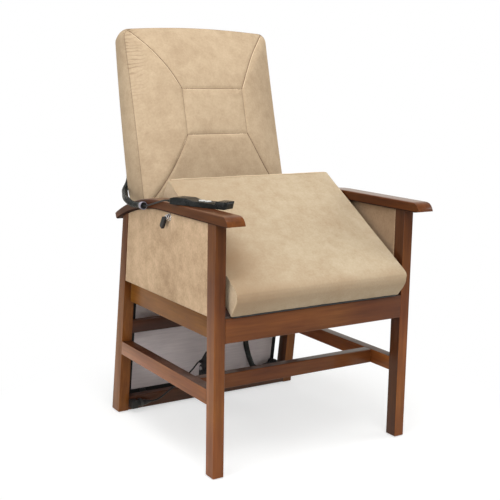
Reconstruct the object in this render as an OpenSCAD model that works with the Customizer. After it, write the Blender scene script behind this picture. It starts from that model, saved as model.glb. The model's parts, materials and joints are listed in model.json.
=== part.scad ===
// Lift recliner chair: a beech armchair whose seat tips forward on a front hinge,
// pushed by an electric actuator, and whose back leans on a shaft held by a locking gas spring.
// Millimetres. +X is the sitter's left-to-right seen from the front, -Y the front, +Z up.

/* [Frame] */
// Width over the legs
frame_w = 600; // [580:5:660]
// Thickness of the legs across the chair
leg_t = 30; // [28:1:34]
// Depth of the front legs, front to back
front_leg_d = 38; // [36:1:46]
// Height of the front legs, which is the armrests' underside
arm_under = 624; // [615:1:640]
// Distance from the front legs' faces to the rear legs' front edges at the floor
rear_leg_y = 545; // [540:1:560]
// Depth of the rear legs at the floor
rear_leg_d = 45; // [43:1:50]
// Forward rake of the rear legs' front edge, per unit of height
rear_rake = 0.122; // [0.115:0.001:0.13]
// Added rake of the rear legs' back edge, which tapers them
rear_taper = 0.0235; // [0.018:0.0005:0.028]
// Thickness of the glides under the feet
glide_h = 2.5; // [1.5:0.5:4]
// Radius on the long edges of the front legs and rails
edge_r = 2.5; // [1:0.5:4]

/* [Rails and stretchers] */
// Height of the seat rails' top edge
rail_top = 397; // [390:1:405]
// Height of the front rail's and aprons' section
rail_h = 61; // [54:1:66]
// Thickness of the front rail
rail_t = 22; // [20:1:26]
// Thickness of the side aprons
apron_t = 21; // [18:1:24]
// Inset of the aprons from the legs' outer faces
apron_inset = 20; // [16:1:21]
// Underside of the stretchers
stretcher_z = 181; // [160:1:200]
// Height of the stretchers' section
stretcher_h = 38; // [32:1:42]
// Thickness of the stretchers
stretcher_t = 28; // [24:1:28]
// Front face of the cross stretcher
cross_y = 117; // [90:1:150]
// Thickness of the two rear rails
back_rail_t = 26; // [22:1:28]
// Underside of the middle rear rail
mid_rail_z = 240; // [225:1:250]
// Height of the middle rear rail's section
mid_rail_h = 35; // [30:1:40]
// Underside of the bottom rear rail
bottom_rail_z = 4; // [4:1:8]
// Height of the bottom rear rail's section
bottom_rail_h = 40; // [36:1:44]
// Length of the stub tenons
tenon_l = 12; // [8:1:13]
// Thickness of the stub tenons
tenon_t = 8; // [6:1:9]
// Shoulder above and below each tenon
tenon_shoulder = 7; // [5:1:9]
// Clearance of a tenon in its mortise
mortise_gap = 0.2; // [0.1:0.05:0.4]

/* [Armrests] */
// Width of an armrest
arm_w = 48; // [44:1:52]
// Thickness of an armrest over the front leg
arm_t = 26; // [24:1:30]
// Overhang beyond the legs' outer faces
arm_out = 7; // [5:1:10]
// Overhang of the tip ahead of the front legs
arm_tip = 66; // [50:1:75]
// Where the straight front stretch ends, behind the front legs' faces
arm_flat = 270; // [255:1:285]
// Radius of the underside of the drooping rear stretch
arm_bend_r = 645; // [635:5:700]
// Radius of the top of the rear stretch, smaller so that the arm thins to its end
arm_top_r = 600; // [590:1:615]
// Angle that the rear stretch turns through
arm_drop = 24.2; // [23:0.1:25]
// Radius on the armrest's long edges
arm_edge_r = 4; // [2:0.5:6]
// Radius of the rounded nose
nose_r = 28.7; // [26:0.1:32]

/* [Rear cover] */
// Width of the lining board behind the rear legs
cover_w = 508; // [490:2:520]
// Lower edge of the board
cover_bottom = 38; // [30:1:50]
// Upper edge of the board
cover_top = 392; // [380:1:400]
// Thickness of the board
cover_t = 8; // [6:1:10]
// Gap between the rear legs' back line and the board
cover_gap = 2; // [1:0.5:3]
// Width of the binding that wraps the board's edge
binding_w = 11; // [8:1:13]
// Thickness of the binding
binding_t = 1; // [0.8:0.1:1.5]

/* [Seat] */
// Angle that the seat is tipped through at the top of the lift
lift_angle = 32.8; // [31:0.1:34]
// Radius of the piano hinge's knuckles
knuckle_r = 3.2; // [2.8:0.1:3.6]
// Radius of the hinge pin
hinge_pin_r = 1.5; // [1.2:0.1:1.8]
// Running clearance of a pin in its bore
pin_gap = 0.05; // [0.03:0.01:0.08]
// Thickness of the hinge leaves
leaf_t = 1.2; // [1:0.1:1.6]
// Reach of each leaf from the pin
leaf_w = 20; // [17:1:21]
// Length of the piano hinge
hinge_l = 500; // [440:10:510]
// Number of knuckles, half of them on each leaf
knuckles = 20; // [12:2:26]
// Half width of the seat cushion at its front
seat_half_front = 257; // [250:1:260]
// Half width of the seat cushion at its rear
seat_half_rear = 250; // [245:1:257]
// Reach of the cushion ahead of the hinge pin
seat_ahead = 2.5; // [0:0.5:10]
// Depth of the cushion behind the hinge pin
seat_depth = 433; // [420:1:440]
// Height of the cushion's sides
seat_h = 66; // [60:1:75]
// Crown of the cushion over its sides
seat_crown = 14; // [8:1:20]
// Thickness of the plywood seat board
board_t = 15; // [12:1:18]
// Inset of the board from the cushion's edge
board_inset = 10; // [8:1:14]

/* [Lift actuator] */
// Offset of the actuator from the centre line
act_x = -30; // [-45:1:-20]
// Distance of the lower pin behind the front legs' faces
act_y = 520; // [517:1:522]
// Height of the lower pin
act_z = 100; // [96:1:104]
// Distance of the upper pin behind the seat hinge, along the board
lift_a = 200; // [197:1:203]
// Distance of the upper pin below the seat hinge, square to the board
lift_h = 25; // [24:0.5:27]
// Radius of the actuator's pins
act_pin_r = 5; // [4.5:0.5:6]
// Radius of the outer tube
act_tube_r = 15; // [14:0.5:18]
// Length of the outer tube's end from the lower pin
act_tube_end = 388; // [380:1:392]
// Radius of the push rod
act_rod_r = 9; // [7:0.5:10]
// Half width of the motor across the chair
motor_half = 30; // [26:1:34]
// Radius of the motor
motor_r = 15; // [13:1:16]
// Travel of the pin forward in the bracket's anti-pinch slot
slot_fore = 8.5; // [8:0.5:11]
// Travel of the pin rearward in the slot
slot_aft = 9; // [8.5:0.5:11]
// Free height over the pin in the slot
slot_above = 1.8; // [1.6:0.1:2.5]
// Free height under the pin in the slot
slot_below = 1.2; // [1:0.1:2]

/* [Backrest] */
// Lean of the backrest from upright, as stored
back_lean = 15.3; // [14.5:0.1:16]
// Distance of the backrest's lower front edge behind the front legs' faces
back_y = 502.6; // [500:0.5:506]
// Height of the backrest's lower front edge
back_z = 590; // [586:1:600]
// Half width of the backrest
back_half = 236; // [225:1:240]
// Height of the backrest along its lean
back_h = 518; // [500:1:540]
// Height of the padded centre panel over the edge seam
back_crown = 52; // [40:1:60]
// Half width of the centre panel
panel_half = 98.6; // [85:0.2:110]
// Lower edge of the centre panel along the lean
panel_low = 201; // [185:1:215]
// Upper edge of the centre panel along the lean
panel_high = 332; // [320:1:345]
// Depth of the sewn channels
channel_d = 3; // [1:0.5:5]
// Depth of the side boxing at the top
boxing_d = 61; // [56:1:66]
// Added depth of the boxing low in the back
boxing_belly = 40; // [30:1:44]
// Rise of the backrest's top edge from its corners to its middle
top_crown = 8; // [4:1:12]
// Width of the padded rim round the outer back panel
back_rim = 16; // [12:1:20]
// Width of the crossbars
crossbar_w = 30; // [24:1:36]
// Lower edge of the lower crossbar along the lean
crossbar_low = 120; // [110:5:140]
// Lower edge of the upper crossbar along the lean
crossbar_high = 425; // [390:5:430]

/* [Recline] */
// Distance of the shaft behind the front legs' faces
shaft_y = 508; // [506:0.5:509]
// Height of the shaft
shaft_z = 430; // [426:1:434]
// Radius of the shaft
shaft_r = 10; // [9:0.5:11]
// Radius of the journals at the shaft's ends
journal_r = 6; // [5:0.5:7]
// Length of each journal
journal_l = 13; // [10:1:14]
// Offset of the uprights from the centre line
upright_x = 190; // [170:1:195]
// Width of an upright
upright_w = 25; // [20:1:28]
// Thickness of an upright
upright_t = 10; // [8:1:10]
// Length of the lever under the shaft
lever_l = 75; // [72:1:76]
// Offset of the gas spring from the centre line
gas_x = 110; // [90:1:130]
// Distance of the gas spring's front pin behind the front legs' faces
gas_y = 70; // [60:1:80]
// Angle that the lever stands behind straight down with the back upright
lever_back = 12.5; // [10:0.5:15]
// Radius of the gas spring's cylinder
gas_r = 11; // [9:0.5:12]
// Length of the gas spring's cylinder
gas_l = 320; // [300:5:330]
// Radius of the gas spring's rod
gas_rod_r = 5; // [4:0.5:6]
// Radius of the gas spring's pins
gas_pin_r = 4; // [3.5:0.5:4.5]
// Free height over the rear pin in the lever's slot
gas_slot = 2.4; // [2.2:0.1:3]

/* [Hand control and release lever] */
// Length of the handset
handset_l = 175; // [165:1:190]
// Width of the handset
handset_w = 40; // [36:1:46]
// Thickness of the handset over its grip
handset_t = 18; // [16:1:20]
// Thickness of the handset round its buttons
handset_low = 13.5; // [12.5:0.5:14.5]
// Thickness of the handset's front block
handset_nose = 21; // [18:0.5:23]
// Turn of the handset from straight ahead towards the middle of the chair
handset_turn = 24; // [20:1:28]
// Radius of the release lever's spindle
spindle_r = 4; // [3:0.5:5]
// Distance of the spindle behind the front legs' faces
spindle_y = 228; // [210:1:240]
// Depth of the spindle under the armrest
spindle_drop = 12; // [11:0.5:16]

/* [Cords] */
// Radius of the ribbed conduit over its ribs
hose_r = 8.5; // [7:0.5:9.5]
// Radius of the conduit's bore
hose_bore_r = 6; // [5:0.5:6.5]
// Pitch of the conduit's ribs
hose_pitch = 9.5; // [6.5:0.5:10]
// Radius of the mains lead
lead_r = 2.3; // [1.8:0.1:2.8]
// Radius of the handset's wire
wire_r = 2.2; // [1.8:0.1:2.6]

/* [Hidden] */
$fn = 48;
// Clearance between pieces that rest beside each other
fit = 0.3;
half_w = frame_w / 2;
inner_x = half_w - leg_t;
arm_mid_x = half_w + arm_out - arm_w / 2;
arm_top = arm_under + arm_t;
hinge_y = -0.5;
hinge_z = rail_top + knuckle_r;
cushion_z = knuckle_r + 0.2;
shaft_half = inner_x - 20;
hinge_boss_l = inner_x - shaft_half - 5;
// The chair's middle, front to back, which is set on the origin
mid_y = (back_y + (boxing_d + 8) + 0.28 * back_h - 18 - arm_tip) / 2;

// Upper and lower pins of the actuator with the seat raised
lift_pin = [hinge_y + lift_a * cos(lift_angle) + lift_h * sin(lift_angle),
            hinge_z + lift_a * sin(lift_angle) - lift_h * cos(lift_angle)];
act_len = norm([lift_pin[0] - act_y, lift_pin[1] - act_z]);
act_angle = atan2(lift_pin[1] - act_z, lift_pin[0] - act_y);
ear_t = 3;
lug_w = 19;
act_ear_x = lug_w / 2 + fit;

// Rear pin of the gas spring with the back upright
gas_tip = [shaft_y + lever_l * sin(lever_back), shaft_z - lever_l * cos(lever_back)];
gas_z = gas_tip[1];
gas_len = norm([gas_tip[0] - gas_y, gas_tip[1] - gas_z]);
gas_angle = atan2(gas_tip[1] - gas_z, gas_tip[0] - gas_y);
gas_eye_w = 14;
gas_lever_t = 8;

// Plane of the back frame inside the backrest, measured back from the edge seam
frame_plane = 46;
pocket_plane = frame_plane - upright_t / 2 - 1;
outer_plane = frame_plane + upright_t / 2 + 1;
pocket_low = 46;
rim_low = 34;

// Handset on the left armrest: its rear end, and the middles of its buttons
handset_at = [-half_w - 3, 205];
button_at = [89, 107];
button_w = 12.6;
button_l = 14.6;
button_gap = 0.4;

// Where the conduit's collar lies against the left armrest
collar_r = 10.5;
collar_x = -half_w - arm_out - collar_r - fit;
collar_y = 346;
collar_z = 628;
collar_l = 12;

// Lower right of the cover, where the conduit enters the control box
gland_x = 244;
gland_y = 559;
gland_z = 66;

// Routes of the cords, as points chosen by hand
hose_upper_route = [
    [-175.5, 647, 716], [-185, 647, 716], [-198, 646.5, 712.5], [-208, 645.5, 704], [-214, 643.5, 692],
    [-217, 641, 678], [-220, 638, 662], [-228, 632, 647], [-239, 621, 638.5], [-250, 602, 634],
    [-260, 579, 631.5], [-272, 552, 629.5], [-286, 520, 628], [-299, 487, 628], [-309.5, 459, 629.5],
    [-315.5, 436, 628], [collar_x, 411, 625], [collar_x, 386, 625], [collar_x, 366, 627.3],
    [collar_x, 358, 628], [collar_x, 348, 628]];
hose_lower_route = [
    [gland_x, gland_y, gland_z - 2], [234, gland_y, gland_z - 2], [224, 558.8, 63.6], [205, 557, 60],
    [181, 556, 58.5], [163, 556, 67], [153, 556, 86], [143, 555, 112], [133, 552, 145], [124, 538, 180],
    [116, 515, 212], [106, 496, 245], [88, 490, 285], [60, 494, 325], [28, 506, 362], [-8, 522, 400],
    [-40, 551, 440], [-68, 582, 485], [-90, 608, 535], [-104, 625, 590], [-114, 633, 640],
    [-125, 641, 680], [-140, 645.5, 704], [-155, 647, 714.5], [-165, 647, 716], [-174.5, 647, 716]];
wire_route = [
    [collar_x, 348, 628], [collar_x, 338, 628], [-317, 322, 630.5], [-315.5, 302, 636],
    [-314, 282, 641.5], [-313.8, 262, 647], [-314, 246, 651.5], [-313, 230, 655],
    [-309.3, 219.2, 655.5], [-306.3, 212.5, 655.5]];
lead_route = [
    [-207, 527, 25], [-199, 527, 25], [-187, 527.5, 26], [-171, 528, 32], [-152, 528, 43.5], [-130.5, 528, 57],
    [-105, 528, 74], [-84, 526.5, 88], [-72, 522, 101], [-65, 516.5, 113], [-60.5, 512, 122],
    [-56, 510.4, 126.1], [-51, 510.4, 126.1]];

// ---- Lines of the raked rear legs and of the armrests' underside ----

function rear_front(z) = rear_leg_y - rear_rake * z;
function rear_back(z) = rear_leg_y + rear_leg_d - (rear_rake + rear_taper) * z;
function cover_front(z) = rear_back(z) + cover_gap;
function rear_rail_y(z, h) = rear_front(z + h / 2);

// Everything under the armrests' underside, less a gap, in the side view
module under_arm(gap) {
    translate([-100, -100]) square([arm_flat + 100, arm_under - gap + 100]);
    translate([arm_flat, arm_under - arm_bend_r]) circle(r = arm_bend_r - gap, $fn = 360);
}

// ---- Placing and general shapes ----

// Side-view outline (y, z) extruded along X from x
module side_cut(x, t) {
    translate([x, 0, 0]) rotate([90, 0, 90]) linear_extrude(t) children();
}

module mirror_copy() {
    children();
    mirror([1, 0, 0]) children();
}

module place() {
    translate([0, -mid_y, 0]) children();
}

module seat_frame() {
    translate([0, hinge_y, hinge_z]) rotate([lift_angle, 0, 0]) children();
}

module act_frame() {
    translate([act_x, act_y, act_z]) rotate([act_angle - 90, 0, 0]) children();
}

module back_frame() {
    translate([0, back_y, back_z]) rotate([90 - back_lean, 0, 0]) children();
}

module gas_frame() {
    translate([gas_x, gas_y, gas_z]) rotate([gas_angle, 0, 0]) children();
}

module handset_frame() {
    translate([handset_at[0], handset_at[1], arm_top + fit]) rotate([0, 0, handset_turn - 90]) children();
}

// Rectangle with rounded corners, centred
module rounded_rect(w, d, r) {
    square([w - 2 * r, d], center = true);
    square([w, d - 2 * r], center = true);
    for (x = [-1, 1], y = [-1, 1])
        translate([x * (w / 2 - r), y * (d / 2 - r)]) circle(r = r);
}

module x_cylinder(r, l, x = 0) {
    translate([x - l / 2, 0, 0]) rotate([0, 90, 0]) cylinder(r = r, h = l);
}

// Bar along X between two faces, with rounded long edges
module x_bar(x0, x1, y0, y1, z0, z1) {
    translate([x0, (y0 + y1) / 2, (z0 + z1) / 2]) rotate([90, 0, 90])
        linear_extrude(x1 - x0) rounded_rect(y1 - y0, z1 - z0, edge_r);
}

// ---- Skins over rings of points, for cushions and cords ----

function mid(p) = [for (k = [0:len(p[0]) - 1]) [for (q = p) q[k]] * [for (q = p) 1] / len(p)];
function unit(v) = v / norm(v);

// Closed skin over a stack of rings that run counter-clockwise seen from the last one
module skin(rings) {
    n = len(rings[0]);
    m = len(rings);
    points = concat([for (r = rings) each r], [mid(rings[0]), mid(rings[m - 1])]);
    sides = [for (j = [0:m - 2], i = [0:n - 1])
        let (a = j * n + i, b = j * n + (i + 1) % n)
        each [[a, a + n, b + n], [a, b + n, b]]];
    ends = [for (i = [0:n - 1])
        let (k = (i + 1) % n, last = (m - 1) * n)
        each [[m * n, i, k], [m * n + 1, last + k, last + i]]];
    polyhedron(points, concat(sides, ends), convexity = 8);
}

// Points round a padded outline; the sides are drawn in by pull between the corners
corner_steps = 3;
side_steps = 7;
function arc_points(x, y, r, from) =
    [for (i = [0:corner_steps]) let (a = from + 90 * i / corner_steps) [x + r * cos(a), y + r * sin(a)]];
function side_points(a, b, inward) =
    [for (i = [1:side_steps]) let (u = i / (side_steps + 1)) a + (b - a) * u + inward * sin(180 * u)];
function pad_outline(low, high, y0, y1, r, pull) = concat(
    arc_points(low - r, y0 + r, r, -90),
    side_points([low, y0 + r], [high, y1 - r], [-pull, 0]),
    arc_points(high - r, y1 - r, r, 0),
    side_points([high - r, y1], [r - high, y1], [0, -pull]),
    arc_points(r - high, y1 - r, r, 90),
    side_points([-high, y1 - r], [-low, y0 + r], [pull, 0]),
    arc_points(r - low, y0 + r, r, 180),
    side_points([r - low, y0], [low - r, y0], [0, pull]));
// Outline moved in by dx at the sides, and by its own amounts at its low and high ends
function moved_in(p, mid_v, half, dx, low, high, v0, v1) = [for (q = p) [
    q[0] * (half - dx) / half,
    mid_v + (q[1] - mid_v) * (q[1] < mid_v ? (mid_v - v0 - low) / (mid_v - v0)
                                           : (v1 - mid_v - high) / (v1 - mid_v))]];
function level(p, z) = [for (q = p) [q[0], q[1], z]];

// Smooth curve through a route's points, in k steps from point to point
function curve(a, b, c, d, u) =
    0.5 * (2 * b + (c - a) * u + (2 * a - 5 * b + 4 * c - d) * u * u + (3 * b - a - 3 * c + d) * u * u * u);
function smooth(p, k) = concat(
    [for (i = [0:len(p) - 2], j = [0:k - 1])
        curve(p[max(i - 1, 0)], p[i], p[i + 1], p[min(i + 2, len(p) - 1)], j / k)],
    [p[len(p) - 1]]);
function run_lengths(p, i = 1, sum = [0]) =
    i == len(p) ? sum : run_lengths(p, i + 1, concat(sum, [sum[i - 1] + norm(p[i] - p[i - 1])]));
function at_length(p, s, d, i = 1) =
    i == len(p) - 1 || s[i] >= d
        ? p[i - 1] + (p[i] - p[i - 1]) * (d - s[i - 1]) / (s[i] - s[i - 1])
        : at_length(p, s, d, i + 1);
// Evenly spaced points, one every step or a little less
function even_points(p, step) =
    let (s = run_lengths(p), total = s[len(s) - 1], n = ceil(total / step))
    [for (i = [0:n]) at_length(p, s, min(total * i / n, total))];
function tangents(p) =
    [for (i = [0:len(p) - 1]) unit(p[min(i + 1, len(p) - 1)] - p[max(i - 1, 0)])];
// A side direction for each ring, turned as little as possible from ring to ring
function carried(t, i = 0, out = []) =
    i == len(t) ? out
        : let (was = i == 0 ? (abs(t[0][2]) < 0.9 ? [0, 0, 1] : [0, 1, 0]) : out[i - 1])
          carried(t, i + 1, concat(out, [unit(was - (was * t[i]) * t[i])]));
function ring(c, u, w, r, sides) =
    [for (k = [0:sides - 1]) let (a = 360 * k / sides) c + r * (cos(a) * u + sin(a) * w)];

module cord_tube(route, r, sides, step) {
    p = even_points(smooth(route, 6), step);
    t = tangents(p);
    u = carried(t);
    skin([for (i = [0:len(p) - 1]) ring(p[i], u[i], cross(t[i], u[i]), r, sides)]);
}

// Ribbed tube with its bore: two rings to a rib, open at both ends
module ribbed_hose(route, r, bore, pitch, sides) {
    p = even_points(smooth(route, 6), pitch / 2);
    m = len(p);
    t = tangents(p);
    u = carried(t);
    // The ends stay plain over one diameter
    plain = ceil(2 * r / (pitch / 2));
    outer = [for (i = [0:m - 1])
        let (crest = i % 2 == 0 || i < plain || i > m - 1 - plain)
        ring(p[i], u[i], cross(t[i], u[i]), crest ? r : r - 1.6, sides)];
    picks = concat([for (i = [0:4:m - 4]) i], [m - 1]);
    inner = [for (i = picks) ring(p[i], u[i], cross(t[i], u[i]), bore, sides)];
    k = len(inner);
    n = sides;
    base = m * n;
    function quads(count, from, out) = [for (j = [0:count - 2], i = [0:n - 1])
        let (a = from + j * n + i, b = from + j * n + (i + 1) % n)
        each out ? [[a, a + n, b + n], [a, b + n, b]] : [[a, b + n, a + n], [a, b, b + n]]];
    function collar_faces(o, i0, out) = [for (i = [0:n - 1])
        let (a = o + i, b = o + (i + 1) % n, c = i0 + i, d = i0 + (i + 1) % n)
        each out ? [[a, d, b], [a, c, d]] : [[a, b, d], [a, d, c]]];
    polyhedron(
        concat([for (q = outer) each q], [for (q = inner) each q]),
        concat(quads(m, 0, true), quads(k, base, false),
               collar_faces(0, base, false), collar_faces((m - 1) * n, base + (k - 1) * n, true)),
        convexity = 10);
}

// ---- Mortises and tenons ----

// Tenon that runs along Y, from y, and its mortise when grown by the clearance
module tenon_y(x, y, z, h, l, grow = 0) {
    translate([x - tenon_t / 2 - grow, y, z + tenon_shoulder - grow])
        cube([tenon_t + 2 * grow, l + grow, h - 2 * tenon_shoulder + 2 * grow]);
}

// Tenon that runs along X, outwards from x
module tenon_x(x, y, z, h, l, grow = 0) {
    translate([x, y - tenon_t / 2 - grow, z + tenon_shoulder - grow])
        cube([l + grow, tenon_t + 2 * grow, h - 2 * tenon_shoulder + 2 * grow]);
}

apron_x = half_w - apron_inset - apron_t / 2;
apron_tenon_x = (inner_x + half_w - apron_inset) / 2;
side_x = half_w - stretcher_t / 2;
rail_z = rail_top - rail_h;
front_rail_mid = 11;
cross_mid = cross_y + stretcher_t / 2;
mid_rail_y = rear_rail_y(mid_rail_z, mid_rail_h);
bottom_rail_y = rear_rail_y(bottom_rail_z, bottom_rail_h);
front_tenon_l = tenon_l - 4;

// ---- Frame ----

module front_leg() {
    color("saddlebrown") difference() {
        translate([half_w - leg_t / 2, front_leg_d / 2, glide_h])
            linear_extrude(arm_under - glide_h) rounded_rect(leg_t, front_leg_d, edge_r);
        tenon_x(inner_x, front_rail_mid, rail_z, rail_h, tenon_l, mortise_gap);
        translate([0, front_leg_d - front_tenon_l - mortise_gap, 0])
            tenon_y(apron_tenon_x, 0, rail_z, rail_h, front_tenon_l, mortise_gap);
        translate([0, front_leg_d - front_tenon_l - mortise_gap, 0])
            tenon_y(side_x, 0, stretcher_z, stretcher_h, front_tenon_l, mortise_gap);
    }
}

module rear_leg() {
    color("saddlebrown") difference() {
        side_cut(inner_x, leg_t) intersection() {
            polygon([[rear_front(glide_h), glide_h], [rear_back(glide_h), glide_h],
                     [rear_back(arm_under), arm_under], [rear_front(arm_under), arm_under]]);
            under_arm(mortise_gap);
        }
        translate([0, rear_front(rail_top) - 1, 0])
            tenon_y(apron_tenon_x, 0, rail_z, rail_h, tenon_l, mortise_gap);
        translate([0, rear_front(stretcher_z + stretcher_h) - 1, 0])
            tenon_y(side_x, 0, stretcher_z, stretcher_h, tenon_l, mortise_gap);
        tenon_x(inner_x, mid_rail_y + back_rail_t / 2, mid_rail_z, mid_rail_h, tenon_l, mortise_gap);
        tenon_x(inner_x, bottom_rail_y + back_rail_t / 2, bottom_rail_z, bottom_rail_h,
                tenon_l, mortise_gap);
    }
}

module foot_glides() {
    color("dimgray") mirror_copy() {
        translate([half_w - leg_t / 2, front_leg_d / 2, 0]) glide();
        translate([half_w - leg_t / 2, (rear_front(0) + rear_back(0)) / 2, 0]) glide();
    }
}

module glide() {
    cylinder(r1 = leg_t / 2 - 4, r2 = leg_t / 2 - 3, h = glide_h);
}

module cross_rail(y, z, t, h) {
    color("saddlebrown") {
        x_bar(-inner_x, inner_x, y, y + t, z, z + h);
        mirror_copy() tenon_x(inner_x - 1, y + t / 2, z, h, tenon_l + 1);
    }
}

module front_rail() {
    color("saddlebrown") {
        x_bar(-inner_x, inner_x, front_rail_mid - rail_t / 2, front_rail_mid + rail_t / 2, rail_z, rail_top);
        mirror_copy() tenon_x(inner_x - 1, front_rail_mid, rail_z, rail_h, tenon_l + 1);
    }
}

// Rail from a front leg's rear face to the raked edge of the rear leg
module fore_aft_rail(x, t, z, h, tenon_x0) {
    color("saddlebrown") {
        side_cut(x - t / 2, t)
            polygon([[front_leg_d, z], [rear_front(z), z], [rear_front(z + h), z + h], [front_leg_d, z + h]]);
        tenon_y(tenon_x0, front_leg_d - front_tenon_l, z, h, front_tenon_l + 1);
        tenon_y(tenon_x0, rear_front(z + h) - 1, z, h, tenon_l);
    }
}

module side_stretcher() {
    difference() {
        fore_aft_rail(side_x, stretcher_t, stretcher_z, stretcher_h, side_x);
        tenon_x(half_w - stretcher_t - fit / 10, cross_mid, stretcher_z, stretcher_h, tenon_l, mortise_gap);
    }
}

module cross_stretcher() {
    color("saddlebrown") {
        x_bar(stretcher_t - half_w, half_w - stretcher_t, cross_y, cross_y + stretcher_t,
              stretcher_z, stretcher_z + stretcher_h);
        mirror_copy()
            tenon_x(half_w - stretcher_t - 1, cross_mid, stretcher_z, stretcher_h, tenon_l + 1);
    }
}

// Stretch of armrest section: straight from the tip, then bent down round a centre on X.
// rim is the radius of the face that the section keeps, and side is +1 where that face is the lower
module arm_sweep(rim, side, turn) {
    deep = 60;
    centre = side > 0 ? arm_under - rim : arm_top - rim;
    section_r = rim + side * deep / 2;
    translate([arm_mid_x, arm_flat, centre]) {
        rotate([90, 0, 0]) linear_extrude(arm_flat + arm_tip + 10)
            translate([0, section_r]) rounded_rect(arm_w, deep, arm_edge_r);
        rotate([0, -90, 0]) rotate_extrude(angle = turn, $fn = 360)
            translate([section_r, 0]) rounded_rect(deep, arm_w, arm_edge_r);
    }
}

module armrest() {
    color("sienna") intersection() {
        arm_sweep(arm_bend_r, 1, arm_drop);
        arm_sweep(arm_top_r, -1, arm_drop + 6);
        side_cut(arm_mid_x - arm_w / 2 - 1, arm_w + 2) arm_nose();
    }
}

// Side view of the armrest's nose: a round front over a short chamfer
module arm_nose() {
    nose_y = nose_r - arm_tip;
    difference() {
        union() {
            translate([nose_y, 0]) square([rear_leg_y + 100, arm_top + 10]);
            translate([nose_y, arm_top - nose_r]) circle(r = nose_r, $fn = 96);
        }
        polygon([[-arm_tip - 5, arm_under - 40], [-arm_tip - 5, arm_under + 4.5],
                 [-arm_tip, arm_under + 3.5], [21 - arm_tip, arm_under], [21 - arm_tip, arm_under - 40]]);
    }
}

module side_panel() {
    color("tan") side_cut(inner_x, leg_t) intersection() {
        polygon([[front_leg_d + fit, rail_top + 1], [rear_front(rail_top) - fit, rail_top + 1],
                 [rear_front(arm_under) - fit, arm_under], [front_leg_d + fit, arm_under]]);
        under_arm(fit);
    }
}

// ---- Rear cover ----

module cover_slab(grow, low, high, half) {
    z0 = low;
    z1 = high;
    side_cut(-half, 2 * half)
        polygon([[cover_front(z0) - grow, z0], [cover_front(z0) + cover_t + grow, z0],
                 [cover_front(z1) + cover_t + grow, z1], [cover_front(z1) - grow, z1]]);
}

module gland_hole(r) {
    translate([gland_x, 0, gland_z]) rotate([-90, 0, 0])
        translate([0, 0, cover_front(gland_z) - 20]) cylinder(r = r, h = 60);
}

gland_r = 9;

module rear_cover() {
    color("slategray") difference() {
        cover_slab(0, cover_bottom, cover_top, cover_w / 2);
        gland_hole(gland_r + fit);
    }
}

module cover_binding() {
    color("black") difference() {
        cover_slab(binding_t, cover_bottom - binding_t, cover_top + binding_t, cover_w / 2 + binding_t);
        cover_slab(0, cover_bottom, cover_top, cover_w / 2);
        cover_slab(binding_t + 1, cover_bottom + binding_w, cover_top - binding_w, cover_w / 2 - binding_w);
        gland_hole(gland_r + fit);
    }
}

// Angle brackets from the bottom rail, and spacer blocks from the middle rail
bracket_xs = [-205, 160];
module cover_brackets() {
    rail_back = bottom_rail_y + back_rail_t;
    foot = cover_bottom + 0.5;
    up = foot + binding_w - 1;
    mid_back = mid_rail_y + back_rail_t;
    function board(z) = cover_front(z) - binding_t - fit / 3;
    color("dimgray") for (x = bracket_xs) {
        side_cut(x - 10, 20)
            polygon([[rail_back, 12], [rail_back + 2.5, 12], [rail_back + 2.5, foot],
                     [board(foot), foot], [board(up), up],
                     [board(up) - 2.5, up], [board(foot + 2.5) - 2.5, foot + 2.5],
                     [rail_back, foot + 2.5]]);
        side_cut(x - 15, 30)
            polygon([[mid_back, mid_rail_z + 8], [cover_front(mid_rail_z + 8), mid_rail_z + 8],
                     [cover_front(mid_rail_z + mid_rail_h - 8), mid_rail_z + mid_rail_h - 8],
                     [mid_back, mid_rail_z + mid_rail_h - 8]]);
    }
}

// ---- Seat hinge ----

knuckle_l = hinge_l / knuckles;
knuckle_gap = 0.4;

// One leaf with every second knuckle; up is +1 for the seat's leaf and -1 for the rail's
module hinge_leaf(first, up) {
    flat_z = up > 0 ? knuckle_r - leaf_t : -knuckle_r;
    difference() {
        union() {
            translate([-hinge_l / 2, knuckle_r + knuckle_gap, flat_z])
                cube([hinge_l, leaf_w - knuckle_r - knuckle_gap, leaf_t]);
            for (i = [first:2:knuckles - 1])
                translate([-hinge_l / 2 + i * knuckle_l + knuckle_gap / 2, 0, 0]) {
                    rotate([0, 90, 0]) cylinder(r = knuckle_r, h = knuckle_l - knuckle_gap);
                    translate([0, 0, flat_z])
                        cube([knuckle_l - knuckle_gap, knuckle_r + knuckle_gap + 1, leaf_t]);
                }
        }
        x_cylinder(hinge_pin_r + pin_gap, hinge_l + 2);
    }
}

module seat_hinge_lower_leaf() {
    color("silver") translate([0, hinge_y, hinge_z]) hinge_leaf(0, -1);
}

module seat_hinge_upper_leaf() {
    color("silver") seat_frame() hinge_leaf(1, 1);
}

module seat_hinge_pin() {
    color("gray") seat_frame() x_cylinder(hinge_pin_r, hinge_l);
}

// ---- Seat ----

seat_mid = (seat_depth - seat_ahead) / 2;
seat_r = 14;
function seat_outline(d) = pad_outline(seat_half_front - d, seat_half_rear - d,
    -seat_ahead + d, seat_depth - d, max(seat_r - d / 2, 3), d > 0 ? 0 : 2);
function seat_ring(d, h) = level(moved_in(seat_outline(0), seat_mid, seat_half_front, d, d, d,
    -seat_ahead, seat_depth), h);

module seat_board() {
    color("burlywood") seat_frame() translate([0, 0, knuckle_r])
        linear_extrude(board_t) polygon(seat_outline(board_inset));
}

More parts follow.
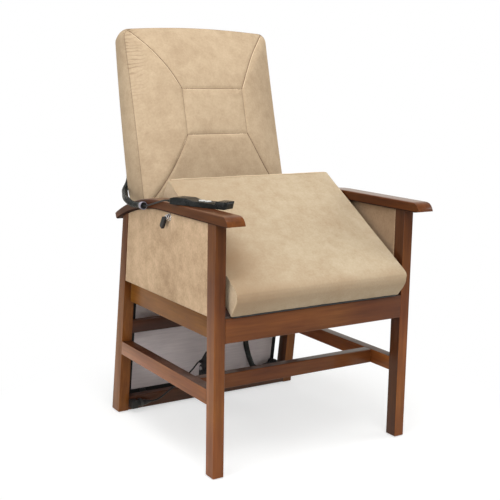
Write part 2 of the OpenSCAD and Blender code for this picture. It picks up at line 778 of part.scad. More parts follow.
module seat_cushion() {
    top = cushion_z + seat_h;
    pocket = seat_outline(board_inset - fit);
    color("tan") seat_frame() skin([
        level(pocket, knuckle_r + board_t + fit),
        level(pocket, cushion_z),
        seat_ring(2.5, cushion_z),
        seat_ring(0, cushion_z + 5),
        seat_ring(-1.2, cushion_z + seat_h / 2),
        seat_ring(0, top - 5),
        seat_ring(1.8, top - 1),
        seat_ring(4, top + 0.15 * seat_crown),
        seat_ring(14, top + 0.38 * seat_crown),
        seat_ring(40, top + 0.66 * seat_crown),
        seat_ring(85, top + 0.87 * seat_crown),
        seat_ring(140, top + seat_crown)]);
}

// Channel bracket under the seat board, with the slot that the actuator's pin pushes in
module seat_lift_bracket() {
    half = act_ear_x + ear_t;
    color("dimgray") seat_frame() translate([act_x, lift_a, -lift_h]) difference() {
        union() {
            translate([-half - 12, -34, lift_h + knuckle_r - 2.5]) cube([2 * half + 24, 68, 2.5]);
            for (s = [-1, 1])
                side_cut(s * (act_ear_x + ear_t / 2) - ear_t / 2, ear_t) {
                    translate([-24, 0]) square([48, lift_h + knuckle_r - 1]);
                    for (y = [-slot_fore, slot_aft]) translate([y, 0]) circle(r = act_pin_r + 8);
                    translate([-slot_fore, -act_pin_r - 8]) square([slot_fore + slot_aft, 12]);
                }
        }
        side_cut(-half - 1, 2 * half + 2) {
            translate([-slot_fore, -act_pin_r - slot_below])
                square([slot_fore + slot_aft, 2 * act_pin_r + slot_above + slot_below]);
            for (y = [-slot_fore, slot_aft])
                translate([y, (slot_above - slot_below) / 2])
                    circle(r = act_pin_r + (slot_above + slot_below) / 2);
        }
    }
}

// ---- Lift actuator ----

gear_top = 62;
gear_w = 32;
motor_at = [-27, 12];
lead_gland = [10, 26];

// Gearbox on the lower pin, with the motor across the chair in front of it
module motor_housing() {
    color("dimgray") act_frame() difference() {
        union() {
            x_cylinder(12, lug_w);
            translate([-lug_w / 2, -12, 0]) cube([lug_w, 24, 18]);
            translate([0, 0, 16]) linear_extrude(gear_top - 16) rounded_rect(gear_w, 40, 6);
            translate([0, motor_at[0], motor_at[1]]) {
                x_cylinder(motor_r, 2 * motor_half - 8);
                x_cylinder(motor_r - 3, 2 * motor_half);
            }
            // Gland of the power lead
            translate([-gear_w / 2 - 7, lead_gland[0], lead_gland[1]]) rotate([0, 90, 0]) cylinder(r = 5, h = 8);
        }
        x_cylinder(act_pin_r + pin_gap, lug_w + 2);
        translate([0, motor_at[0], motor_at[1]]) for (s = [-1, 1])
            x_cylinder(5, 3, s * motor_half);
        translate([-gear_w / 2 - 8, lead_gland[0], lead_gland[1]]) rotate([0, 90, 0])
            cylinder(r1 = lead_r + 1.9, r2 = lead_r + 0.9, h = 6.5);
    }
}

module actuator_tube() {
    color("gray") act_frame() difference() {
        union() {
            translate([0, 0, gear_top]) cylinder(r = act_tube_r, h = act_tube_end - gear_top - 8);
            translate([0, 0, act_tube_end - 14]) cylinder(r = act_tube_r + 2, h = 14);
            translate([0, 0, gear_top]) cylinder(r = act_tube_r + 3, h = 12);
        }
        translate([0, 0, gear_top + 6]) cylinder(r = act_tube_r - 2.5, h = act_tube_end - gear_top - 26);
        translate([0, 0, act_tube_end - 30]) cylinder(r = act_rod_r + 0.1, h = 40);
    }
}

module actuator_rod() {
    foot = act_tube_end - 90;
    color("silver") act_frame() difference() {
        union() {
            translate([0, 0, foot]) cylinder(r = act_rod_r, h = act_len - foot - 10);
            translate([0, 0, act_len]) x_cylinder(11, lug_w);
            translate([-lug_w / 2, -9, act_len - 18]) cube([lug_w, 18, 14]);
        }
        translate([0, 0, act_len]) x_cylinder(act_pin_r + pin_gap, lug_w + 2);
        // The rod is hollow where it runs on the spindle
        translate([0, 0, foot - 1]) cylinder(r = act_rod_r - 3, h = 80);
    }
}

// Headed pin along X that spans two ears
module ear_pin(r, half) {
    x_cylinder(r, 2 * half + 2);
    for (s = [-1, 1]) x_cylinder(r + 2, 2, s * (half + 1.5));
}

module actuator_upper_pin() {
    color("silver") act_frame() translate([0, 0, act_len]) ear_pin(act_pin_r, act_ear_x + ear_t);
}

module actuator_bracket() {
    half = act_ear_x + ear_t;
    color("dimgray") difference() {
        union() {
            translate([act_x - half - 14, bottom_rail_y - 3, bottom_rail_z + 3])
                cube([2 * half + 28, 3, bottom_rail_h - 6]);
            for (s = [-1, 1])
                side_cut(act_x + s * (act_ear_x + ear_t / 2) - ear_t / 2, ear_t) {
                    translate([act_y, act_z]) circle(r = 13);
                    polygon([[act_y - 13, act_z], [act_y + 13, act_z],
                             [bottom_rail_y - 2, bottom_rail_z + bottom_rail_h - 3],
                             [bottom_rail_y - 2, bottom_rail_z + 3],
                             [bottom_rail_y - 14, bottom_rail_z + 3]]);
                }
        }
        translate([act_x, act_y, act_z]) x_cylinder(act_pin_r + pin_gap, 2 * half + 2);
    }
}

// Pins that stay with the frame: the actuator's lower pin and the gas spring's front pin
module frame_pivot_pins() {
    color("silver") {
        translate([act_x, act_y, act_z]) ear_pin(act_pin_r, act_ear_x + ear_t);
        translate([gas_x, gas_y, gas_z]) ear_pin(gas_pin_r, gas_eye_w / 2 + fit + ear_t);
    }
}

// ---- Gas spring and recline shaft ----

module gas_spring_bracket() {
    face = front_rail_mid + rail_t / 2;
    half = gas_eye_w / 2 + fit + ear_t;
    color("dimgray") difference() {
        union() {
            translate([gas_x - half - 12, face, gas_z - 10]) cube([2 * half + 24, 3, 36]);
            for (s = [-1, 1])
                side_cut(gas_x + s * (half - ear_t / 2) - ear_t / 2, ear_t) {
                    translate([gas_y, gas_z]) circle(r = 10);
                    polygon([[face + 1, gas_z - 10], [gas_y, gas_z - 10], [gas_y, gas_z + 10],
                             [face + 1, gas_z + 24]]);
                }
        }
        translate([gas_x, gas_y, gas_z]) x_cylinder(gas_pin_r + pin_gap, 2 * half + 2);
    }
}

// Cylinder with its front eye and the release head that the lever's cable works
gas_head = 22;
module gas_spring_cylinder() {
    color("black") gas_frame() difference() {
        union() {
            x_cylinder(9, gas_eye_w);
            translate([-gas_eye_w / 2, 0, -8]) cube([gas_eye_w, gas_head, 16]);
            translate([0, gas_head - 2, 0]) rotate([-90, 0, 0]) cylinder(r = gas_r + 2, h = 20);
            translate([0, gas_head + 8, 0]) rotate([180, 0, 0]) cylinder(r = 4, h = gas_r + 9);
            translate([0, gas_head, 0]) rotate([-90, 0, 0]) cylinder(r = gas_r, h = gas_l);
        }
        x_cylinder(gas_pin_r + pin_gap, gas_eye_w + 2);
        translate([0, gas_head + gas_l - 60, 0]) rotate([-90, 0, 0]) cylinder(r = gas_rod_r + 0.1, h = 70);
    }
}

module gas_spring_rod() {
    prong_t = 4;
    half = gas_lever_t / 2 + fit + prong_t;
    clevis = 26;
    rod_from = gas_head + gas_l - 20;
    color("silver") gas_frame() {
        translate([0, rod_from, 0]) rotate([-90, 0, 0])
            cylinder(r = gas_rod_r, h = gas_len - clevis + 4 - rod_from);
        difference() {
            union() {
                translate([-half, gas_len - clevis, -8]) cube([2 * half, clevis, 16]);
                translate([0, gas_len, 0]) x_cylinder(8, 2 * half);
            }
            translate([-gas_lever_t / 2 - fit, gas_len - 14, -10]) cube([gas_lever_t + 2 * fit, 30, 20]);
        }
        translate([0, gas_len, 0]) ear_pin(gas_pin_r, half);
    }
}

module back_hinge_plates() {
    color("dimgray") mirror_copy() difference() {
        union() {
            side_cut(inner_x - 3, 3) difference() {
                polygon([[rear_front(shaft_z + 34) + 3, shaft_z + 34], [rear_back(shaft_z + 34) - 3, shaft_z + 34],
                         [rear_back(shaft_z - 34) - 3, shaft_z - 34], [rear_front(shaft_z - 34) + 3, shaft_z - 34]]);
            }
            translate([0, shaft_y, shaft_z]) x_cylinder(11, hinge_boss_l, inner_x - hinge_boss_l / 2);
        }
        translate([0, shaft_y, shaft_z])
            x_cylinder(journal_r + pin_gap, hinge_boss_l + 2, inner_x - hinge_boss_l / 2 - 1.5);
    }
}

module back_shaft() {
    color("silver") translate([0, shaft_y, shaft_z]) {
        x_cylinder(shaft_r, 2 * shaft_half);
        x_cylinder(journal_r, 2 * (shaft_half + 5 + journal_l - 1));
    }
}

upright_top = 450;
upright_low = 60;
// Flat bars that carry the back, each clamped round the shaft by its eye
module back_uprights() {
    color("dimgray") mirror_copy() {
        difference() {
            union() {
                back_frame() translate([upright_x - upright_w / 2, -shaft_drop() , -frame_plane - upright_t / 2])
                    cube([upright_w, upright_top + shaft_drop(), upright_t]);
                translate([0, shaft_y, shaft_z]) x_cylinder(shaft_r + 5, upright_w, upright_x);
            }
            translate([0, shaft_y, shaft_z]) x_cylinder(shaft_r + pin_gap, upright_w + 2, upright_x);
        }
    }
}

// Distance of the shaft below the backrest's lower edge, along its lean
function shaft_drop() = (back_z - shaft_z) * cos(back_lean) + (back_y - shaft_y) * sin(back_lean);

module back_crossbars() {
    half = upright_x - upright_w / 2;
    color("dimgray") back_frame() for (t = [crossbar_low, crossbar_high])
        translate([-half, t, -frame_plane - upright_t / 2 + 2]) cube([2 * half, crossbar_w, upright_t - 4]);
}

// Lever under the shaft; its slot takes up the arc between the lever and the gas spring
module back_lever() {
    color("dimgray") translate([0, shaft_y, shaft_z])
        side_cut(gas_x - gas_lever_t / 2, gas_lever_t) rotate(lever_back) difference() {
            union() {
                circle(r = shaft_r + 7);
                translate([-10, -lever_l]) square([20, lever_l]);
                translate([0, -lever_l]) circle(r = 10);
            }
            circle(r = shaft_r + pin_gap);
            translate([0, -lever_l]) circle(r = gas_pin_r + 0.7);
            translate([0, -lever_l + gas_slot]) circle(r = gas_pin_r + 0.7);
            translate([-gas_pin_r - 0.7, -lever_l]) square([2 * gas_pin_r + 1.4, gas_slot]);
        }
}

// ---- Backrest ----

// Rear face of the backrest, behind the edge seam, at a height along its lean
function boxing(t) =
    let (u = max(min(t / back_h, 1), 0)) boxing_d + boxing_belly * pow(1 - u, 0.8) * sin(min(90, 30 + 324 * u));
back_mid = back_h / 2;
back_r = 25;
function back_outline(half, low, high, r, pull) = pad_outline(half, half, low, high, r, pull);
// Seam's outline, whose top edge rises to the middle
function crowned(p) = [for (q = p)
    [q[0], q[1] + (q[1] > back_mid ? top_crown * (cos(90 * q[0] / back_half) - 0.6) * (q[1] - back_mid) / back_mid : 0)]];
// A ring of the boxing, moved in at its sides, low end and high end
function back_ring(dx, low, high) = moved_in(crowned(back_outline(back_half, 0, back_h, back_r, -2)), back_mid,
    back_half, dx, low, high, 0, back_h);
// The uprights come out through a notch in the lower edge
function notched(q, z) = q[1] < pocket_low + 2 && abs(q[0]) < upright_x + 26 ? max(z, -pocket_plane + 2) : z;
function back_level(p, z) = [for (q = p) [q[0], q[1], notched(q, z)]];
function back_rear(p, add) = [for (q = p) [q[0], q[1], notched(q, -boxing(q[1]) + add)]];
// Front of the cushion: from the edge seam (u = 0) to the centre panel (u = 1)
seam = crowned(back_outline(back_half, 0, back_h, back_r, -2));
panel = back_outline(panel_half, panel_low, panel_high, 6, 0);
ring_size = 4 * (corner_steps + 1 + side_steps);
function on_seam(i) = (i % (corner_steps + 1 + side_steps)) <= corner_steps ? 1 : 0;
function front_ring(u) = [for (i = [0:ring_size - 1])
    let (q = seam[i] + (panel[i] - seam[i]) * u)
    [q[0], q[1], back_crown * (0.72 * u + 0.28 * sin(90 * u)) + 9 * sin(180 * pow(u, 0.7))
                 - on_seam(i) * channel_d * (sin(180 * u) > 0.2 ? 1 : sin(180 * u) / 0.2)]];

module back_cushion() {
    pocket = back_outline(back_half - back_rim, pocket_low, back_h - back_rim, 16, 0);
    color("tan") back_frame() skin([
        back_level(pocket, -pocket_plane),
        back_rear(pocket, 2),
        back_rear(back_ring(5, rim_low, 2), 0),
        back_rear(back_ring(-1.5, rim_low - 12, -6), 7),
        back_level(back_ring(-4, 8, -12), -35),
        back_level(back_ring(-2.5, 1, -9), -14),
        front_ring(0),
        front_ring(0.03),
        front_ring(0.12),
        front_ring(0.28),
        front_ring(0.48),
        front_ring(0.68),
        front_ring(0.86),
        front_ring(0.96),
        [for (q = front_ring(1)) [q[0], q[1], q[2] - channel_d]],
        [for (q = front_ring(1)) [q[0] * 0.9, (q[1] - 266.5) * 0.9 + 266.5, back_crown + 1]]]);
}

// Upholstered panel that closes the back of the pocket
module outer_back() {
    half = back_half - back_rim - 1;
    low = pocket_low + 1;
    high = back_h - back_rim - 1;
    edge = back_outline(half, low, high, 15, 0);
    inner = back_outline(half - 12, low + 12, high - 12, 12, 0);
    far = back_outline(half - 60, low + 60, high - 60, 10, 0);
    color("tan") back_frame() skin([
        [for (q = far) [q[0], q[1], -boxing(q[1]) - 3]],
        [for (q = inner) [q[0], q[1], -boxing(q[1]) - 2]],
        [for (q = edge) [q[0], q[1], min(-boxing(q[1]) + 2, -outer_plane - 1)]],
        level(edge, -outer_plane)]);
}

// ---- Wiring ----

// Saddle that holds the conduit's bend to the outer back
module conduit_clip() {
    at = hose_upper_route[0];
    color("black") translate(at) difference() {
        union() {
            x_cylinder(hose_r + 2.5, 12);
            translate([-6, -19, -hose_r - 1]) cube([12, 19, 2 * hose_r + 2]);
        }
        x_cylinder(hose_r + 0.6, 14);
        back_cut(at);
    }
}

// Everything in front of the outer back's rear face, seen from the clip
module back_cut(at) {
    t = (at[2] - back_z) * cos(back_lean) + (at[1] - back_y) * sin(back_lean);
    translate(-at) back_frame() rotate([90, 0, 90]) linear_extrude(500, center = true)
        polygon([[t - 30, -boxing(t - 30) - 3 - fit], [t + 30, -boxing(t + 30) - 3 - fit], [t + 30, 40], [t - 30, 40]]);
}

module conduit_upper() {
    color("darkslategray") ribbed_hose(hose_upper_route, hose_r, hose_bore_r, hose_pitch, 8);
}

module conduit_lower() {
    color("darkslategray") ribbed_hose(hose_lower_route, hose_r, hose_bore_r, hose_pitch, 8);
}

module conduit_collar() {
    color("thistle") translate([collar_x, collar_y, collar_z]) rotate([90, 0, 0]) difference() {
        union() {
            translate([0, 0, -collar_l / 2]) cylinder(r = collar_r - 1, h = collar_l);
            translate([0, 0, collar_l / 2 - 3]) cylinder(r = collar_r, h = 3);
        }
        translate([0, 0, -collar_l / 2 - 1]) cylinder(r = hose_r + fit, h = 1 + collar_l / 2);
        translate([0, 0, collar_l / 2 - 3]) cylinder(r = 7, h = 4);
        translate([0, 0, -1]) cylinder(r = wire_r + 0.3, h = collar_l);
    }
}

module handset_wire() {
    color("black") cord_tube(wire_route, wire_r, 8, 3 * wire_r);
}

module power_lead() {
    color("black") cord_tube(lead_route, lead_r, 8, 5 * lead_r);
}

// Box behind the cover; its bulkhead elbow comes through and takes the conduit
module control_box() {
    back = cover_front(gland_z) + cover_t;
    box_z = gland_z - 20;
    color("black") difference() {
        union() {
            side_cut(gland_x - 74, 80)
                polygon([[cover_front(box_z) + cover_t + binding_t, box_z], [back + 34, box_z], [back + 38, box_z + 4],
                         [back + 30, box_z + 100], [back + 26, box_z + 104],
                         [cover_front(box_z + 104) + cover_t + binding_t, box_z + 104]]);
            translate([gland_x, 0, gland_z]) rotate([-90, 0, 0])
                translate([0, 0, gland_y + 7]) cylinder(r = gland_r, h = back - gland_y - 1);
            translate([gland_x, gland_y + 2, gland_z - 1]) sphere(r = gland_r + 4);
        }
        translate([gland_x - 20, gland_y, gland_z - 2]) rotate([0, 90, 0]) cylinder(r = hose_r + 0.9, h = 20);
    }
}

// Height of the inlet's socket and of the lead's coupler
inlet_z = 25;
inlet_y = 527;
module power_inlet() {
    color("black") difference() {
        translate([-inner_x + 1, bottom_rail_y - 25, inlet_z - 11]) cube([18, 25 - fit, 22]);
        // Socket that the lead's coupler goes into
        translate([-inner_x + 4, inlet_y, inlet_z]) rotate([0, 90, 0]) cylinder(r = 6.2, h = 40);
    }
}

module lead_coupler() {
    color("black") translate([-inner_x, inlet_y, inlet_z]) rotate([0, 90, 0]) {
        translate([0, 0, 5]) cylinder(r = 6, h = 20);
        translate([0, 0, 19 + fit]) cylinder(r = 8.5, h = 28);
        translate([0, 0, 47 + fit]) cylinder(r1 = 7, r2 = 3.4, h = 15.7 - fit);
    }
}

// Saddle clip that holds the coupler to the bottom rail
module lead_clip() {
    color("dimgray") translate([-inner_x + 32, inlet_y, inlet_z]) difference() {
        union() {
            x_cylinder(10.5, 8);
            translate([-4, 0, -10.5]) cube([8, bottom_rail_y - inlet_y, 21]);
        }
        x_cylinder(8.5 + fit, 10);
    }
}

// ---- Handset ----

module handset_plan() {
    translate([handset_l / 2, 0]) rounded_rect(handset_l, handset_w, 9);
}

module button_plan(grow) {
    rounded_rect(button_l + 2 * grow, button_w + 2 * grow, 3 + grow);
}

relief_z = 5.2;
face_t = 1.2;
face_mid = 107;
face_l = 62;
module handset_body() {
    color("black") handset_frame() difference() {
        union() {
            intersection() {
                linear_extrude(handset_t + handset_nose) handset_plan();
                rotate([90, 0, 0]) translate([0, 0, -handset_w / 2 - 1]) linear_extrude(handset_w + 2)
                    polygon([[0, 2], [0, handset_t - 7], [6, handset_t - 3], [18, handset_t], [55, handset_t],
                             [73, handset_low], [handset_l - 34, handset_low], [handset_l - 31, handset_nose],
                             [handset_l - 4, handset_nose], [handset_l, handset_nose - 4],
                             [handset_l, 1.5], [handset_l - 2, 0], [4, 0]]);
            }
            // Strain relief of the wire
            translate([0.5, 0, relief_z]) rotate([0, -90, 0]) cylinder(r1 = 5, r2 = wire_r + 1, h = 16);
        }
        translate([0.5 - 16 - 1, 0, relief_z]) rotate([0, 90, 0]) cylinder(r = wire_r + 0.3, h = 14);
        // Lengthwise grooves along both sides
        for (s = [-1, 1], z = [3, 6, 9])
            translate([12, s * handset_w / 2 - 0.8, z - 0.6]) cube([handset_l - 14 - 12, 1.6, 1.2]);
        translate([face_mid, 0, handset_low - face_t]) linear_extrude(10) rounded_rect(face_l, 28, 4);
        for (x = button_at) translate([x, 0, 5]) linear_extrude(20) button_plan(button_gap);
    }
}

module handset_face() {
    color("dimgray") handset_frame() translate([0, 0, handset_low - face_t]) linear_extrude(face_t)
        difference() {
            translate([face_mid, 0]) rounded_rect(face_l - 0.2, 27.8, 3.9);
            for (x = button_at) translate([x, 0]) button_plan(button_gap);
        }
}

module button(x) {
    color("silver") handset_frame() translate([x, 0, 0]) {
        translate([0, 0, 7]) linear_extrude(handset_low - 5.5) button_plan(0);
        translate([0, 0, handset_low + 1.5]) linear_extrude(0.6) button_plan(-0.8);
    }
}

module button_up() {
    button(button_at[0]);
}

module button_down() {
    button(button_at[1]);
}

// ---- Release lever under the left armrest ----

bush_l = 7;
module lever_at() {
    translate([-half_w, spindle_y, arm_under - spindle_drop]) children();
}

module lever_bush() {
    color("silver") lever_at() difference() {
        union() {
            x_cylinder(8, bush_l, -bush_l / 2);
            x_cylinder(9.5, 2, -1);
        }
        x_cylinder(spindle_r + pin_gap, bush_l, -bush_l / 2 - 1.5);
    }
}

module release_lever() {
    color("silver") lever_at() {
        x_cylinder(spindle_r, bush_l + 1, -bush_l / 2 - 2.5);
        side_cut(-bush_l - 4.5, 3) {
            circle(r = 6.5);
            polygon([[-5, 2], [4.5, 4.5], [14, -9], [6, -14]]);
        }
    }
}

// Moulded grip over the lever's blade, hanging down and a little to the rear
module release_grip() {
    color("black") lever_at() difference() {
        side_cut(-bush_l - 11, 10)
            polygon([[1.5, -9.5], [4.5, -14], [12, -32], [15, -34.5], [24, -31], [26, -28], [17.5, -8], [14.5, -6],
                     [10, -5.2]]);
        side_cut(-bush_l - 4.5 - 0.1, 3.2) polygon([[-6, 3], [5, 6], [15, -9], [6.5, -15.5]]);
    }
}

// ---- Screws ----

module screw_head(r = 4) {
    cylinder(r1 = r, r2 = r - 1, h = 2.2);
}

module frame_screws() {
    color("silver") {
        // Cover to brackets and spacers, from behind
        for (x = bracket_xs, p = [[cover_bottom + binding_w / 2, binding_t], [mid_rail_z + mid_rail_h / 2, 0]])
            translate([x, cover_front(p[0]) + cover_t + p[1], p[0]])
                rotate([-90 + atan(rear_rake + rear_taper), 0, 0]) screw_head();
        // Actuator bracket to the bottom rail
        for (s = [-1, 1])
            translate([act_x + s * (act_ear_x + ear_t + 7), bottom_rail_y - 3, bottom_rail_z + bottom_rail_h / 2])
                rotate([90, 0, 0]) screw_head();
        // Gas spring bracket to the front rail
        for (s = [-1, 1])
            translate([gas_x + s * (gas_eye_w / 2 + ear_t + 6.5), front_rail_mid + rail_t / 2 + 3, gas_z + 8])
                rotate([-90, 0, 0]) screw_head();
        // Hinge plates to the rear legs
        mirror_copy() for (z = [shaft_z - 24, shaft_z + 24])
            translate([inner_x - 3, (rear_front(z) + rear_back(z)) / 2, z]) rotate([0, -90, 0]) screw_head();
    }
}

// ---- Nodes ----

place() mirror([1, 0, 0]) front_leg();  // front_leg_left
place() front_leg();  // front_leg_right
place() mirror([1, 0, 0]) rear_leg();  // rear_leg_left
place() rear_leg();  // rear_leg_right
place() foot_glides();
place() front_rail();
place() mirror([1, 0, 0]) fore_aft_rail(apron_x, apron_t, rail_z, rail_h, apron_tenon_x);  // side_apron_left
place() fore_aft_rail(apron_x, apron_t, rail_z, rail_h, apron_tenon_x);  // side_apron_right
place() cross_rail(mid_rail_y, mid_rail_z, back_rail_t, mid_rail_h);  // rear_mid_rail
place() cross_rail(bottom_rail_y, bottom_rail_z, back_rail_t, bottom_rail_h);  // rear_bottom_rail
place() mirror([1, 0, 0]) side_stretcher();  // side_stretcher_left
place() side_stretcher();  // side_stretcher_right
place() cross_stretcher();
place() mirror([1, 0, 0]) armrest();  // armrest_left
place() armrest();  // armrest_right
place() mirror([1, 0, 0]) side_panel();  // side_panel_left
place() side_panel();  // side_panel_right
place() rear_cover();
place() cover_binding();
place() cover_brackets();
place() seat_hinge_lower_leaf();
place() actuator_bracket();
place() frame_pivot_pins();
place() gas_spring_bracket();
place() back_hinge_plates();
place() control_box();
place() power_inlet();
place() lead_coupler();
place() lead_clip();
place() power_lead();
place() conduit_lower();
place() conduit_upper();
place() conduit_collar();
place() handset_wire();
place() handset_body();
place() handset_face();
place() lever_bush();
place() frame_screws();
place() seat_hinge_upper_leaf();
place() seat_hinge_pin();
place() seat_board();
place() seat_cushion();
place() seat_lift_bracket();
place() motor_housing();
place() actuator_tube();
place() actuator_rod();
place() actuator_upper_pin();
place() back_shaft();
place() back_uprights();
place() back_crossbars();
place() back_lever();
place() outer_back();
place() back_cushion();
place() conduit_clip();
place() gas_spring_cylinder();
place() gas_spring_rod();
place() release_lever();
place() release_grip();
place() button_up();
place() button_down();
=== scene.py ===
# Lift recliner chair: a beech armchair with a seat that tips forward on a front hinge, a padded back
# that leans on a shaft, and the wiring of its hand control. Built from the wooden frame outwards.
import json
import math

import bmesh
import bpy
import numpy as np
from mathutils import Matrix, Vector, noise
from mathutils.bvhtree import BVHTree

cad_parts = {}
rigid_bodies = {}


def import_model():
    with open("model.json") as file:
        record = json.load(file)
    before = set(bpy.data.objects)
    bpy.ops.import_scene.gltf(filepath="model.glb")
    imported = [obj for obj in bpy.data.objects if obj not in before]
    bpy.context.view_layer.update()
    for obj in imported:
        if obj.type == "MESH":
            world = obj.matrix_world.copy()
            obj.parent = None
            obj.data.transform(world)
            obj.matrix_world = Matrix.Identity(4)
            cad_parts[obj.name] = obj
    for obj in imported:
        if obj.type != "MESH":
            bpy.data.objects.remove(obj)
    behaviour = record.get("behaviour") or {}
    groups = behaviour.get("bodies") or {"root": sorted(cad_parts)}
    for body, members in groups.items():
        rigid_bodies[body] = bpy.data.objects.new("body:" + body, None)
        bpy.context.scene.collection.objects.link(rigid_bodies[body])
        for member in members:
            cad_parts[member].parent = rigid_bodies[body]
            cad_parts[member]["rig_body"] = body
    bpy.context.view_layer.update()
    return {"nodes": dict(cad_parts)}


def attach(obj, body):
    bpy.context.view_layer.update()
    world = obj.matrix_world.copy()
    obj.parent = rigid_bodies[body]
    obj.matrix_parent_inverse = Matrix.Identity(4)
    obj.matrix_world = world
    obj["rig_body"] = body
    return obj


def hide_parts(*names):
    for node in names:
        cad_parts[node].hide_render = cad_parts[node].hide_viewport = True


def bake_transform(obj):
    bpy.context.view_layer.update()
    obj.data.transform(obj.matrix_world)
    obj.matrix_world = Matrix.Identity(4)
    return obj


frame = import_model()

# ---- Studio ----
# A white sweep under broad soft boxes, as in a furniture catalogue.
# The camera stands a little above seat height, off the chair's left front corner.
MIDDLE_Y = 316.32  # chair's middle behind the front legs' faces, mm


def at(x, y, z):
    """Point in the row frame from millimetres off the centre line, the front legs' faces and the floor."""
    return Vector((x, y - MIDDLE_Y, z)) / 1000


def placed(name, data):
    """New object in the scene."""
    thing = bpy.data.objects.new(name, data)
    bpy.context.scene.collection.objects.link(thing)
    return thing


def aimed_camera(place, yaw, pitch, roll, lens):
    """Camera turned right by yaw, tipped down by pitch and leant by roll, in radians."""
    right = Vector((math.cos(yaw), -math.sin(yaw), 0))
    ahead = Vector((math.sin(yaw) * math.cos(pitch), math.cos(yaw) * math.cos(pitch), -math.sin(pitch)))
    up = right.cross(ahead)
    level_right = math.cos(roll) * right + math.sin(roll) * up
    level_up = math.cos(roll) * up - math.sin(roll) * right
    data = bpy.data.cameras.new("camera")
    data.sensor_width = 36
    data.lens = lens
    camera = placed("camera", data)
    turned = Matrix((level_right, level_up, -ahead)).transposed().to_4x4()
    camera.matrix_world = Matrix.Translation(place) @ turned
    bpy.context.scene.camera = camera


aimed_camera(at(-1406.17, -1905.62, 969.08), yaw=0.562228, pitch=0.180465, roll=0.016722, lens=69.78)


def soft_box(name, place, aim, size, watts):
    """Rectangular lamp, turned to what it lights."""
    data = bpy.data.lights.new(name, "AREA")
    data.shape = "RECTANGLE"
    data.size, data.size_y = size
    data.energy = watts
    box = placed(name, data)
    box.location = place
    box.rotation_euler = (Vector(aim) - Vector(place)).to_track_quat("-Z", "Y").to_euler()


soft_box("top_box", (-0.7, -0.9, 3.1), (0, 0, 0.3), (3.0, 2.6), 77)
soft_box("front_box", (-1.2, -3.6, 2.2), (0, 0, 0.5), (2.4, 1.8), 54)
soft_box("left_box", (-3.4, -0.6, 0.95), (0, 0, 0.5), (2.0, 1.6), 36)
soft_box("side_box", (3.2, -1.3, 1.7), (0, 0, 0.5), (1.8, 1.8), 34)


def feed(tree, socket, value):
    """Give a socket another node's output, a number, or a colour or vector as a tuple."""
    if isinstance(value, bpy.types.NodeSocket):
        tree.links.new(value, socket)
    elif socket.type == "RGBA" and len(value) == 3:
        socket.default_value = (*value, 1)
    else:
        socket.default_value = value


def new_node(tree, kind, values=(), **settings):
    """Shader node with its settings made and its inputs fed, in order or by label."""
    node = tree.nodes.new("ShaderNode" + kind)
    for name, setting in settings.items():
        setattr(node, name, setting)
    for label, value in values.items() if isinstance(values, dict) else enumerate(values):
        feed(tree, node.inputs[label], value)
    return node


def math_node(tree, operation, *values):
    """Result of a Math node."""
    return new_node(tree, "Math", values, operation=operation).outputs[0]


def vector_node(tree, operation, *values):
    """Vector Math node: a number for LENGTH and DOT_PRODUCT, otherwise a vector."""
    result = "Value" if operation in ("LENGTH", "DOT_PRODUCT") else "Vector"
    return new_node(tree, "VectorMath", values, operation=operation).outputs[result]


def ranged(tree, value, low, high, to_low=0.0, to_high=1.0, **settings):
    """The value's range from low to high, mapped to another and held at its ends."""
    return new_node(tree, "MapRange", (value, low, high, to_low, to_high), **settings).outputs[0]


def white_surround():
    """Warm fill light that the camera sees as plain white, and lacquer as a pale room."""
    world = bpy.data.worlds.new("studio")
    bpy.context.scene.world = world
    world.use_nodes = True
    tree = world.node_tree
    tree.nodes.clear()
    ray = new_node(tree, "LightPath").outputs
    direction = new_node(tree, "TexCoord").outputs["Generated"]
    ahead = new_node(tree, "SeparateXYZ", (direction,)).outputs["Y"]
    ambient = new_node(tree, "Background", ((1.0, 0.955, 0.885), 0.27))
    mirrored = new_node(tree, "Background", ((1.0, 0.955, 0.88), ranged(tree, ahead, -0.3, 0.75, 0.25, 1.0)))
    white = new_node(tree, "Background", ((1, 1, 1), 1.0))
    seen_in = new_node(tree, "MixShader", (ray["Is Glossy Ray"], ambient.outputs[0], mirrored.outputs[0]))
    shown = math_node(tree, "MAXIMUM", ray["Is Camera Ray"], ray["Is Transmission Ray"])
    mix = new_node(tree, "MixShader", (shown, seen_in.outputs[0], white.outputs[0]))
    new_node(tree, "OutputWorld", (mix.outputs[0],))


white_surround()
bpy.context.scene.view_settings.view_transform = "Standard"


